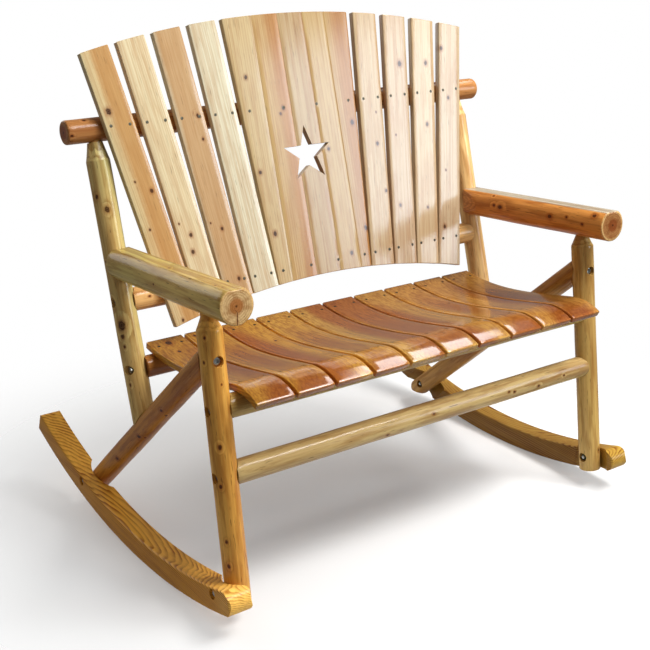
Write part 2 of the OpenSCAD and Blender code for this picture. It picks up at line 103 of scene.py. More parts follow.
def colour(name, description, hex_value):
    return bpy.props.StringProperty(name=name, description=description, default=hex_value)


class LogChairSizes(bpy.types.PropertyGroup):
    """Sizes of the frame, seat and back, the same as those of the solid model"""

    post_span: length("Post span", "Distance between the front-post axes", 1.0)
    front_post_h: length("Front post height", "Height of the front-post shoulders", 0.553)
    seat_depth: length("Seat depth", "Front-post axes to rear-post axes at the seat", 0.361)
    lean: angle("Lean", "Angle the chair leans back at rest", 6.9)
    post_r: length("Post radius", "Radius of posts and braces", 0.026)
    rail_r: length("Rail radius", "Radius of the seat rails and the stretcher", 0.025)
    back_rail_r: length("Back rail radius", "Radius of the two back rails", 0.0265)
    stretcher_drop: length("Stretcher drop", "Front stretcher below the seat surface", 0.1745)
    rear_inset: length("Rear post inset", "Rear posts stand in by this, each side", 0.002)
    ear_setback: length("Ear setback", "Coped ears stop this far short of the post axes", 0.016)
    rocker_r: length("Rocker radius", "Radius of the underside of a rocker", 1.372)
    rocker_cy: length("Arc centre", "Arc centre behind the front posts", 0.160)
    rocker_d: length("Rocker depth", "Depth of a rocker", 0.051)
    rocker_t: length("Rocker thickness", "Thickness of a rocker", 0.052)
    rocker_lap: length("Rocker lap", "Depth the posts are let into a rocker", 0.021)
    rocker_front_a: angle("Nose angle", "Arc angle of the front tip", 9.7)
    rocker_rear_a: angle("Tail angle", "Arc angle of the rear end", 31.0)
    notch_r: length("Notch radius", "Radius of the scooped notches", 0.070)
    brace_drop: length("Brace drop", "Brace meets the post below its shoulder", 0.050)
    brace_foot_a: angle("Brace foot angle", "Arc angle of the bolt at the brace foot", 20.0)
    seat_gap: length("Seat gap", "Gap between seat slats", 0.007)
    seat_t: length("Seat slat thickness", "Thickness of the seat slats", 0.016)
    seat_drop: length("Seat drop", "Seat surface below the front-post shoulders", 0.1155)
    seat_nose: length("Seat nose", "Overhang in front of the posts", 0.084)
    seat_roll_r: length("Seat roll", "Radius of the rolled front edge", 0.130)
    back_rake: angle("Back rake", "Angle of the back to the front posts", 7.3)
    back_lift: length("Back lift", "Lower back rail axis above the seat surface", 0.1215)
    rail_pitch: length("Back rail pitch", "Distance between the back rails", 0.3654)
    top_rail_end: length("Top rail end", "Top rail runs on past the rear posts", 0.064)
    back_t: length("Back slat thickness", "Thickness of slats and panel", 0.016)
    slat_w: length("Slat width", "Width of one back slat", 0.0675)
    slat_gap: length("Slat gap", "Gap at the lower ends of the slats", 0.0017)
    panel_half: length("Panel half width", "Half the width of the star panel", 0.129)
    panel_a: angle("Panel side angle", "Slope of the panel's side edges", 3.66)
    fan_step: angle("Fan step", "Angle added from slat to slat", 1.77)
    slat_drop: length("Slat drop", "Lower corners below the lower rail", 0.075)
    slat_len: length("Slat length", "Lower to upper corners of the outer slats", 0.593)
    top_rise: length("Top rise", "Rise of the arched top edge", 0.059)
    low_rise: length("Low rise", "Rise of the arched lower edge", 0.049)
    star_r: length("Star radius", "Centre of the star to its points", 0.0665)
    star_v: length("Star height", "Star centre above the lower corners", 0.329)
    arm_r: length("Arm radius", "Radius of the arm logs", 0.037)
    arm_flat: length("Arm flat", "Planed top above the arm axis", 0.031)
    arm_nose: length("Arm nose", "Arms reach forward of the posts", 0.100)
    arm_lift: length("Arm lift", "Front of the arm axis above the post shoulders", 0.0535)
    arm_a: angle("Arm climb", "Angle the arms climb to the back", 4.35)
    arm_inset: length("Arm inset", "Arm axes stand in from the posts", 0.008)


class LogChairColours(bpy.types.PropertyGroup):
    """Colours of the varnished timber and the fasteners, as sRGB hex"""

    log_sap: colour("Log sapwood", "Outer wood of the peeled logs", "#E2BC80")
    log_heart: colour("Log heartwood", "Heart of the logs, seen on cut ends", "#B8763F")
    log_late: colour("Log streaks", "Dark grain on the logs", "#9A6129")
    rocker_sap: colour("Rocker early wood", "Pale bands of the rocker timber", "#DDB768")
    rocker_late: colour("Rocker late wood", "Dark bands of the rocker timber", "#955B20")
    slat_sap: colour("Slat sapwood", "Pale boards of the back", "#F0D9AE")
    slat_heart: colour("Slat heartwood", "Tan boards of the back", "#DCAA72")
    slat_late: colour("Slat grain", "Grain lines of the back boards", "#C08348")
    seat_sap: colour("Seat sapwood", "Pale edges of the seat slats", "#D6A160")
    seat_heart: colour("Seat heartwood", "Red-brown heart of the seat slats", "#B0693A")
    seat_late: colour("Seat grain", "Grain lines of the seat slats", "#7E3B18")
    knot_core: colour("Knot", "Heart of a knot", "#3A1606")
    knot_halo: colour("Knot halo", "Resin-stained wood round a knot", "#A65C28")
    zinc: colour("Zinc plate", "Bright bolts", "#B9BCB8")
    nut: colour("Nut", "Dark nuts in the post feet", "#3C4A3A")
    screw: colour("Screw heads", "Dull wood screws", "#6B6656")
    floor: colour("Floor", "Pale studio floor", "#F4F3F1")


class Layout:
    """Places worked out from the sizes, in the axes where the front posts stand upright"""

    def __init__(self, s):
        self.s = s
        self.post_x = s.post_span / 2
        self.rear_x = self.post_x - s.rear_inset
        self.rocker_in = self.post_x + s.post_r - s.rocker_lap
        self.rocker_out = self.rocker_in + s.rocker_t
        self.rocker_cz = math.sqrt(s.rocker_r**2 - s.rocker_cy**2) - 0.004
        self.corner_r = 0.012
        self.seat_z = s.front_post_h - s.seat_drop
        self.stretcher_z = self.seat_z - s.stretcher_drop
        self.lower_rail_z = self.seat_z + s.back_lift
        self.arm_z = s.front_post_h + s.arm_lift
        self.rocker_mid = s.rocker_r - s.rocker_d / 2
        self.nose_a = s.rocker_front_a - math.asin(s.rocker_d / 2 / self.rocker_mid)
        self.tail_a = s.rocker_rear_a - math.asin(self.corner_r / self.rocker_mid)
        front = -self.rocker_mid * math.sin(self.nose_a + s.lean) - s.rocker_d / 2
        back = (s.rocker_r - self.corner_r) * math.sin(self.tail_a - s.lean) + self.corner_r
        rest_y = s.rocker_cy * math.cos(s.lean) + self.rocker_cz * math.sin(s.lean) + (front + back) / 2
        rest_z = self.rocker_cz * math.cos(s.lean) - s.rocker_cy * math.sin(s.lean)
        self.rest = Matrix.Translation((0, -rest_y, s.rocker_r - rest_z)) @ Matrix.Rotation(-s.lean, 4, "X")
        self.brace_z = s.front_post_h - s.brace_drop
        foot_rad = s.rocker_r - 0.75 * s.rocker_d
        self.foot_y = s.rocker_cy + foot_rad * math.sin(s.brace_foot_a)
        self.foot_z = self.rocker_cz - foot_rad * math.cos(s.brace_foot_a)
        self.brace_a = math.atan2(self.brace_z - self.foot_z, self.foot_y)
        self.brace_len = math.hypot(self.foot_y, self.brace_z - self.foot_z)
        self.seat_run = s.seat_depth - 0.011
        self.seat_c = (-0.0162, -0.0112, 0.0473)
        seat_a0 = math.atan(self.seat_c[0] / self.seat_run)
        self.roll_cy = s.seat_roll_r * math.sin(seat_a0)
        self.roll_cz = self.seat_z - s.seat_roll_r * math.cos(seat_a0)
        bed = s.seat_t + s.rail_r + FIT
        self.front_bear = -bed * math.sin(seat_a0)
        self.rear_bear = self.seat_run - bed * math.sin(self.seat_slope(self.seat_run - 0.012))
        self.front_rail = (0.0, self.seat_top(self.front_bear) - bed * math.cos(self.seat_slope(self.front_bear)))
        rear_a = self.seat_slope(self.rear_bear)
        self.rear_rail = (
            self.rear_bear + bed * math.sin(rear_a),
            self.seat_top(self.rear_bear) - bed * math.cos(rear_a),
        )
        self.seat_tail = s.seat_depth + 0.008
        self.back_y = s.seat_depth + (self.lower_rail_z - self.rear_rail[1]) * math.tan(s.back_rake)
        self.back_frame = Matrix.Translation((0, self.back_y, self.lower_rail_z)) @ Matrix.Rotation(
            -s.back_rake, 4, "X"
        )
        self.slat_back = -s.back_rail_r - FIT
        self.slat_pitch = s.slat_w + s.slat_gap
        fan_half = s.panel_half + 4 * self.slat_pitch + 0.3 * s.slat_gap
        top_half = fan_half + s.slat_len * math.tan(s.panel_a + 3.83 * s.fan_step)
        self.top_arc_r = (top_half**2 + s.top_rise**2) / (2 * s.top_rise)
        self.low_arc_r = (fan_half**2 + s.low_rise**2) / (2 * s.low_rise)
        self.rear_top = s.rail_pitch - s.back_rail_r - FIT
        self.arm_x = self.post_x - s.arm_inset
        self.arm_len = (s.seat_depth + 0.015 + s.arm_nose) / math.cos(s.arm_a)
        self.arm_bolt_v = (
            self.arm_z + (s.seat_depth + s.arm_nose) * math.tan(s.arm_a) - self.lower_rail_z
        ) / math.cos(s.back_rake)
        self.front_tenon_top = self.arm_z + s.arm_nose * math.tan(s.arm_a) + 0.002
        # rows of back screws up the slope, seat slats across, and the rocker bolts at (y, z)
        self.upper_v, self.lower_v = s.slat_drop + s.rail_pitch, s.slat_drop
        self.seat_half = self.post_x - s.post_r - SEAT_SIDE_GAP
        self.seat_w = (2 * self.seat_half - 9 * s.seat_gap) / 10
        self.rocker_spots = ((0, POST_BOLT_Z), (self.foot_y, self.foot_z))

    def seat_x(self, i):
        return -self.seat_half + self.seat_w / 2 + i * (self.seat_w + self.s.seat_gap)

    def seat_top(self, y):
        s = self.s
        if y < 0:
            return self.roll_cz + math.sqrt(s.seat_roll_r**2 - (y - self.roll_cy) ** 2)
        t = y / self.seat_run
        return self.seat_z + sum(k * t ** (i + 1) for i, k in enumerate(self.seat_c))

    def seat_slope(self, y):
        if y < 0:
            return -math.asin((y - self.roll_cy) / self.s.seat_roll_r)
        t = y / self.seat_run
        c = self.seat_c
        return math.atan((c[0] + 2 * c[1] * t + 3 * c[2] * t * t) / self.seat_run)

    def slat_angle(self, k):
        return self.s.panel_a + self.s.fan_step * (k + 0.83)

    def slat_x(self, k, v):
        return self.s.panel_half + self.slat_pitch * (k + 0.5) + v * math.tan(self.slat_angle(k))

    def panel_x(self, v):
        return self.s.panel_half + v * math.tan(self.s.panel_a)

    def arc_low(self, u):
        return self.s.low_rise - self.low_arc_r + math.sqrt(self.low_arc_r**2 - u * u)

    def arc_top(self, u):
        r = self.top_arc_r
        return self.s.slat_len + self.s.top_rise - r + math.sqrt(r * r - u * u)


def layout():
    return Layout(bpy.context.scene.log_chair_sizes)


def paint():
    return bpy.context.scene.log_chair_colours


# tint of each piece of timber, multiplied into its colour: no two logs or boards are the same
TINTS = {
    "rocker_left": (1.36, 1.06, 0.50),
    "rocker_right": (0.51, 0.43, 0.27),
    "front_post_left": (1.08, 0.82, 0.35),
    "front_post_right": (0.82, 0.78, 0.52),
    "rear_post_left": (1.35, 1.38, 1.20),
    "rear_post_right": (1.25, 1.26, 1.24),
    "brace_left": (0.70, 0.42, 0.13),
    "brace_right": (0.74, 0.60, 0.36),
    "armrest_left": (1.32, 1.32, 1.00),
    "armrest_right": (0.90, 0.53, 0.26),
    "front_seat_rail": (0.84, 0.88, 0.64),
    "front_stretcher": (0.79, 0.83, 0.78),
    "rear_seat_rail": (0.49, 0.29, 0.14),
    "lower_back_rail": (1.13, 1.00, 0.86),
    "top_back_rail": (0.64, 0.42, 0.30),
    "back_slat_1": (0.76, 0.76, 0.66),
    "back_slat_2": (0.82, 0.86, 0.86),
    "back_slat_3": (0.74, 0.83, 0.95),
    "back_slat_4": (0.77, 0.88, 1.01),
    "star_panel_1": (0.63, 0.60, 0.51),
    "star_panel_2": (0.58, 0.49, 0.34),
    "star_panel_3": (0.51, 0.45, 0.37),
    "star_panel_4": (0.53, 0.45, 0.31),
    "star_panel_5": (0.52, 0.43, 0.27),
    "back_slat_5": (0.59, 0.55, 0.52),
    "back_slat_6": (0.60, 0.56, 0.57),
    "back_slat_7": (0.64, 0.61, 0.59),
    "back_slat_8": (0.60, 0.57, 0.58),
    "seat_slat_1": (0.59, 0.50, 0.17),
    "seat_slat_2": (0.67, 0.59, 0.20),
    "seat_slat_3": (0.75, 0.67, 0.23),
    "seat_slat_4": (0.73, 0.69, 0.32),
    "seat_slat_5": (0.70, 0.70, 0.42),
    "seat_slat_6": (0.70, 0.70, 0.42),
    "seat_slat_7": (0.68, 0.64, 0.39),
    "seat_slat_8": (0.66, 0.58, 0.35),
    "seat_slat_9": (0.66, 0.58, 0.35),
    "seat_slat_10": (0.66, 0.58, 0.35),
}

# knots: on a log (angle round it in degrees, distance along it, radius), on a board (across, along, radius)
KNOTS = {
    "armrest_left": (
        (254.7, 0.238, 0.0033), (251.3, 0.055, 0.0027), (256.4, 0.034, 0.0022), (179.5, 0.258, 0.0026),
        (92, 0, 0.0011),
    ),
    "armrest_right": (
        (228.4, 0.361, 0.003), (188.3, 0.327, 0.0065), (191.7, 0.349, 0.0045), (187.4, 0.159, 0.0058),
        (218.6, 0.028, 0.0056), (180.7, 0.057, 0.0033), (196, 0.107, 0.0031),
    ),
    "back_slat_1": (
        (-0.016, 0.405, 0.0073), (0.0179, 0.222, 0.005), (-0.0122, 0.251, 0.0026), (-0.0163, 0.146, 0.0028),
        (-0.0148, 0.073, 0.0035), (-0.0135, -0.061, 0.0039),
    ),
    "back_slat_2": ((-0.0025, 0.117, 0.0048), (-0.0101, 0.081, 0.0053), (-0.0221, 0.148, 0.0026),),
    "back_slat_3": (
        (0.0135, 0.375, 0.0044), (0.0175, 0.368, 0.0044), (0.0152, 0.317, 0.0036), (-0.0229, 0.137, 0.0024),
        (0.0008, 0.118, 0.0044), (0.0081, 0.001, 0.0049),
    ),
    "back_slat_4": ((-0.06, 0.175, 0.002),),
    "back_slat_5": ((0.01, 0.258, 0.0049), (0.0253, 0.144, 0.0044), (0.0128, 0.333, 0.0025),),
    "back_slat_6": ((0.0103, 0.444, 0.007), (-0.0088, 0.1, 0.0049), (-0.0117, 0.271, 0.0025),),
    "back_slat_7": ((0.0074, 0.442, 0.0061), (0.0075, 0.291, 0.0051), (0.0029, 0.085, 0.004),),
    "back_slat_8": (
        (-0.027, 0.471, 0.0057), (-0.0042, 0.35, 0.0046), (-0.0164, 0.026, 0.0051), (-0.012, 0.168, 0.0028),
    ),
    "brace_left": (
        (152.7, 0.562, 0.0051), (146.3, 0.407, 0.0057), (119.4, 0.398, 0.0031), (150, 0.252, 0.0045),
        (116.3, 0.261, 0.0033), (80.6, 0.136, 0.0052),
    ),
    "brace_right": ((204.5, 0.547, 0.0044),),
    "front_post_left": (
        (218.3, 0.542, 0.003), (201.5, 0.494, 0.003), (233.4, 0.328, 0.005), (217.7, 0.249, 0.0042),
        (215.8, 0.136, 0.0039), (213.4, 0.085, 0.0044), (270.9, 0.449, 0.0024),
    ),
    "front_post_right": ((303.5, 0.196, 0.0047), (285.4, 0.051, 0.0038), (312.4, 0.582, 0.0038),),
    "front_seat_rail": ((280.1, 0.153, 0.0044),),
    "front_stretcher": (
        (267.7, 0.224, 0.003), (276.1, 0.241, 0.0032), (285.8, 0.317, 0.0037), (270, 0.399, 0.0029),
        (261.3, 0.004, 0.0028), (301.3, -0.121, 0.0029),
    ),
    "lower_back_rail": ((259.3, -0.447, 0.0028),),
    "rear_post_left": (
        (186.7, 0.007, 0.0047), (217.6, -0.049, 0.0112), (213.1, -0.072, 0.0056), (190.6, 0.088, 0.003),
        (208.7, 0.226, 0.0047), (249, 0.197, 0.0069), (213.7, -0.095, 0.0035), (206.1, -0.178, 0.0033),
    ),
    "rear_seat_rail": ((232.9, -0.445, 0.0035),),
    "seat_slat_1": ((-0.0012, 0.345, 0.0092), (-0.0015, 0.297, 0.0052), (0.0136, 0.034, 0.0035),),
    "seat_slat_2": ((-0.0264, 0.35, 0.0049), (-0.0093, 0.189, 0.0032), (0.0084, 0.041, 0.0026),),
    "seat_slat_3": ((0.0152, 0.233, 0.0039),),
    "seat_slat_5": ((-0.0019, 0.208, 0.0032),),
    "seat_slat_6": ((0.032, 0.198, 0.0037), (-0.0099, 0.046, 0.0028),),
    "seat_slat_8": ((0.0246, 0.205, 0.0043),),
    "seat_slat_9": ((0.0345, 0.121, 0.0036),),
    "star_panel_1": (
        (-0.1328, 0.44, 0.005), (-0.1348, 0.227, 0.0048), (-0.1221, 0.086, 0.0059), (-0.0883, 0.37, 0.0023),
    ),
    "star_panel_2": ((-0.0473, 0.364, 0.0053), (-0.0566, 0.352, 0.0039),),
    "star_panel_3": ((0.1316, 0.529, 0.0024),),
    "star_panel_4": ((0.0596, 0.259, 0.0047), (0.0795, 0.009, 0.0052),),
    "star_panel_5": ((0.1383, 0.313, 0.0063), (0.1322, 0.062, 0.0063),),
    "top_back_rail": ((219.1, -0.52, 0.0039), (291.9, -0.555, 0.0034),),
}
# cloudy stains on some logs: shade and amount
STAINS = {
    "front_post_left": ((1.3, 1.45, 1.7), 0.8),
    "front_post_right": ((1.15, 1.2, 1.3), 0.6),
    "rear_post_left": ((0.45, 0.62, 0.62), 0.9),
    "armrest_left": ((0.74, 0.90, 0.80), 0.9),
    "front_seat_rail": ((0.9, 1.0, 1.05), 0.8),
    "brace_left": ((1.35, 1.4, 1.5), 0.7),
    "top_back_rail": ((1.25, 1.35, 1.4), 0.5),
    "armrest_right": ((1.2, 1.35, 1.4), 0.4),
}


# ---- mesh building -------------------------------------------------------------


def skin(name, rings):
    """Mesh over a row of closed rings; a ring of one point closes an end"""
    points, faces, starts = [], [], []
    for ring in rings:
        starts.append(len(points))
        points.extend(ring)
    for i in range(len(rings) - 1):
        a, b, n, m = starts[i], starts[i + 1], len(rings[i]), len(rings[i + 1])
        for j in range(max(n, m)):
            k = (j + 1) % max(n, m)
            if n == m:
                faces.append((a + j, a + k, b + k, b + j))
            elif m == 1:
                faces.append((a + j, a + k, b))
            else:
                faces.append((a, b + k, b + j))
    mesh = bpy.data.meshes.new(name)
    mesh.from_pydata(points, [], faces)
    tidy_normals(mesh)
    return mesh


def capped(rings):
    """The rings with a point in the middle of each end"""
    first, last = (sum(ring, Vector()) / len(ring) for ring in (rings[0], rings[-1]))
    return [[first]] + rings + [[last]]


def tidy_normals(mesh):
    bm = bmesh.new()
    bm.from_mesh(mesh)
    bmesh.ops.recalc_face_normals(bm, faces=bm.faces)
    bm.to_mesh(mesh)
    bm.free()


def log_rings(low, high, radius, seed, turns=48, round_over=0.003, flat=None, marks=()):
    """Rings of a log along Z. low and high give the end heights at (x, y); radius gives it at height z"""
    z0, z1 = low(0, 0), high(0, 0)
    span = z1 - z0
    count = max(6, int(span / LOG_STEP))
    stations = sorted(
        {z0 + span * i / count for i in range(1, count)} | {m for m in marks if z0 < m < z1}
    )
    rings = []

    def ring(z, shrink, lift):
        points = []
        for j in range(turns):
            a = 2 * math.pi * j / turns
            wave = noise.noise(Vector((math.cos(a) * 1.1, math.sin(a) * 1.1, z * 7 + seed * 5.3)))
            fine = noise.noise(Vector((math.cos(a) * 4, math.sin(a) * 4, z * 22 + seed * 3.1)))
            base = radius(z, a)
            r = base - (0.0007 + 0.0007 * wave + 0.00025 * fine) * min(1, base / 0.02) - shrink
            x, y = r * math.cos(a), r * math.sin(a)
            if flat is not None and y < -flat + shrink:
                over = -flat + shrink - y
                y = -flat + shrink - 0.0004 * math.exp(-over / 0.003)
            t = (z - z0) / span
            drop = (low(x, y) - z0) * (1 - t) ** 6 + (high(x, y) - z1) * t**6
            points.append(Vector((x, y, z + drop + lift)))
        return points

    def end(z, sign):
        body = [ring(z, round_over * (1 - math.sin(q)), sign * round_over * (1 - math.cos(q)))
                for q in (math.pi / 6, math.pi / 3, math.pi / 2)]
        face = ring(z, round_over, 0)
        inner = []
        for f in (0.85, 0.6, 0.3):
            shape = []
            for p in face:
                x, y = p.x * f, p.y * f
                shape.append(Vector((x, y, (low if sign > 0 else high)(x, y))))
            inner.append(shape)
        top = (low if sign > 0 else high)(0, 0)
        return [[Vector((0, 0, top))]] + inner[::-1] + [face] + body

    rings.extend(end(z0, 1))
    rings.extend(ring(z, 0, 0) for z in stations if z0 + 2 * round_over < z < z1 - 2 * round_over)
    rings.extend(reversed(end(z1, -1)))
    return rings


def whittled(a, f):
    """Share of a cone's radius left by eight knife cuts, deepest half way up the cone"""
    cut_a = (a + 0.3) % (math.pi / 4) - math.pi / 8
    flat = math.cos(math.pi / 8) / math.cos(cut_a)
    return 1 - (1 - flat) * min(1, 4 * f * (1 - f) + 0.25)


def rounded_section(half_w, half_t, r, steps=4):
    """Corner points of a rectangle with rounded corners, as (across, through)"""
    points = []
    for cx, cy, a0 in (
        (half_w - r, half_t - r, 0),
        (-half_w + r, half_t - r, 90),
        (-half_w + r, -half_t + r, 180),
        (half_w - r, -half_t + r, 270),
    ):
        for i in range(steps + 1):
            a = math.radians(a0 + 90 * i / steps)
            points.append((cx + r * math.cos(a), cy + r * math.sin(a)))
    return points


def widened(section, cuts):
    """The same outline with extra points along its two long sides"""
    out = []
    n = len(section)
    for i, p in enumerate(section):
        q = section[(i + 1) % n]
        out.append(p)
        if abs(q[0] - p[0]) > 4 * abs(q[1] - p[1]) and abs(q[0] - p[0]) > 0.004:
            out.extend((p[0] + (q[0] - p[0]) * c / cuts, p[1] + (q[1] - p[1]) * c / cuts) for c in range(1, cuts))
    return out


def shrunk(section, by):
    w = max(abs(p[0]) for p in section)
    t = max(abs(p[1]) for p in section)
    return [(p[0] * (1 - by / w), p[1] * (1 - by / t)) for p in section]


def rods(parts):
    """One cutter mesh of separate cylinders, each (matrix, radius, depth) running along its +Z"""
    bm = bmesh.new()
    for matrix, radius, depth in parts:
        bmesh.ops.create_cone(
            bm, cap_ends=True, segments=64, radius1=radius, radius2=radius, depth=depth,
            matrix=matrix @ Matrix.Translation((0, 0, depth / 2)),
        )
    mesh = bpy.data.meshes.new("cutter")
    bm.to_mesh(mesh)
    bm.free()
    return mesh


def cut(mesh, *cutters):
    """The mesh with each cutter mesh taken out of it"""
    for cutter in cutters:
        body = bpy.data.objects.new("body", mesh)
        tool = bpy.data.objects.new("tool", cutter)
        for o in (body, tool):
            bpy.context.collection.objects.link(o)
        step = body.modifiers.new("cut", "BOOLEAN")
        step.object = tool
        step.operation = "DIFFERENCE"
        step.solver = "EXACT"
        bpy.context.view_layer.update()
        mesh = bpy.data.meshes.new_from_object(body.evaluated_get(bpy.context.evaluated_depsgraph_get()))
        bpy.data.objects.remove(body)
        bpy.data.objects.remove(tool)
    return mesh


def merged(meshes):
    bm = bmesh.new()
    for mesh in meshes:
        bm.from_mesh(mesh)
    out = bpy.data.meshes.new("merged")
    bm.to_mesh(out)
    bm.free()
    return out


def mirrored(mesh):
    mesh.transform(Matrix.Scale(-1, 4, Vector((1, 0, 0))))
    tidy_normals(mesh)
    return mesh


def mark_board(mesh, name, centre, slant, pith, along="z", climb=0.0, edge=None, end=None):
    """Writes a board's grain, knot and tint attributes. climb turns the grain from the long axis, edge is
    (half width, depth, shade) of its two sides, which on the rockers is a painted shade, and end (where it starts,
    where it is full, shade) of one end"""
    tint, knots = TINTS[name], KNOTS.get(name, ())
    across, run, depth = {"z": (0, 2, 1), "y": (0, 1, 2)}[along]
    c, s = math.cos(slant), math.sin(slant)
    up, on = math.sin(climb), math.cos(climb)

    def spot(p):
        a, l, d = p[across] - centre, p[run], p[depth]
        return (a * c - l * s, l * c + a * s, d)

    grain, tints = [], []
    for v in mesh.vertices:
        a, l, d = spot(v.co)
        grain.extend(((a - pith[0]) * 1000, (d * on - l * up - pith[1]) * 1000, (l * on + d * up) * 1000 + pith[2]))
        shade = edge[2] if edge and abs(a) > edge[0] - edge[1] else (1, 1, 1)
        f = max(0, min(1, (l - end[0]) / (end[1] - end[0]))) if end else 0
        tints.extend(t * e * (1 + f * (x - 1)) for t, e, x in zip(tint, shade, end[2] if end else shade))
    write(mesh, "POINT", grain=grain, tint=tints)
    near = []
    for face in mesh.polygons:
        middle = spot(face.center)
        knot = min(knots, key=lambda k: math.hypot(middle[0] - k[0], (middle[1] - k[1]) / 1.25) / k[2], default=None)
        for i in face.vertices:
            a, l, _ = spot(mesh.vertices[i].co)
            near.extend(((a - knot[0]) / knot[2], (l - knot[1]) / (1.25 * knot[2]), 0) if knot else (9, 9, 0))
    write(mesh, "CORNER", knot=near)


def mark_log(mesh, name, seed, rim=None, planed=None):
    """Writes a log's attributes; rim is (inner radius, its shade, shade inside it) on the cut end
    and planed is (height over the axis, shade) of a planed top, where the shade is painted light on the top (a painted
    shade on the left arm, a painted reflection on the right arm)"""
    tint, knots, stain = TINTS[name], KNOTS.get(name, ()), STAINS.get(name)
    grain, tints = [], []
    for v in mesh.vertices:
        x, y, z = v.co
        sway = (0.0015 * math.sin(z * 4 + seed), 0.0015 * math.cos(z * 3 + seed))
        grain.extend(((x + sway[0]) * 1000, (y + sway[1]) * 1000, z * 1000 + seed * 613))
        shade = stained(tint, stain, Vector((x, y, z + seed)))
        if rim and z < 0.0012:
            shade = rim[1] if math.hypot(x, y) > rim[0] else [t * e for t, e in zip(tint, rim[2])]
        # planed top: the colour is multiplied by painted light, darker for a painted shade and paler for a painted
        # reflection
        elif planed and y < -planed[0]:
            shade = [t * e for t, e in zip(shade, planed[1])]
        tints.extend(shade)
    write(mesh, "POINT", grain=grain, tint=tints)
    near = []
    for face in mesh.polygons:
        m = face.center
        turn = math.atan2(m.y, m.x)

        def offset(k, p):
            whole = wrapped(turn - math.radians(k[0])) + wrapped(math.atan2(p.y, p.x) - turn)
            return whole * max(math.hypot(m.x, m.y), 0.012) / k[2], (p.z - k[1]) / (1.35 * k[2])

        knot = min(knots, key=lambda k: math.hypot(*offset(k, m)), default=None)
        for i in face.vertices:
            near.extend((*offset(knot, mesh.vertices[i].co), 0) if knot else (9, 9, 0))
    write(mesh, "CORNER", knot=near)


def wrapped(a):
    return (a + math.pi) % (2 * math.pi) - math.pi


def stained(tint, stain, p):
    if not stain:
        return tint
    shade, amount = stain
    f = noise.noise(Vector((p.x * 14, p.y * 14, p.z * 3.2))) * 0.9 + 0.5
    f = max(0, min(1, f)) * amount
    return tuple(t * (1 - f) + t * c * f for t, c in zip(tint, shade))


def write(mesh, domain, **layers):
    for name, values in layers.items():
        mesh.attributes.new(name, "FLOAT_VECTOR", domain).data.foreach_set("vector", values)


def piece(name, mesh, place, nodes, material, crease=32):
    """Puts a finished mesh in the chair in place of its CAD nodes"""
    mesh.name = name
    for face in mesh.polygons:
        face.use_smooth = True
    mesh.set_sharp_from_angle(angle=math.radians(crease))
    mesh.materials.clear()
    mesh.materials.append(material)
    mesh.transform(place)
    obj = bpy.data.objects.new(name, mesh)
    bpy.context.collection.objects.link(obj)
    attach(obj, "root")
    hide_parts(*nodes)
    return obj


# ---- materials -------------------------------------------------------------------


def linear(hex_value):
    """sRGB hex to linear RGB"""
    parts = [int(hex_value[i : i + 2], 16) / 255 for i in (1, 3, 5)]
    return tuple(c / 12.92 if c <= 0.04045 else ((c + 0.055) / 1.055) ** 2.4 for c in parts)


def node(tree, kind, links=None, **settings):
    """Adds one node with its settings, and its inputs as values or as sockets to link"""
    made = tree.nodes.new(kind)
    for key, value in settings.items():
        setattr(made, key, value)
    for key, value in (links or {}).items():
        if isinstance(value, bpy.types.NodeSocket):
            tree.links.new(value, made.inputs[key])
        else:
            made.inputs[key].default_value = value
    return made


def new_material(name):
    made = bpy.data.materials.new(name)
    made.use_nodes = True
    made.node_tree.nodes.clear()
    return made


def plug(tree, shader, kind="ShaderNodeOutputMaterial"):
    """Ends a node tree in its output"""
    tree.links.new(shader.outputs[0], node(tree, kind).inputs[0])


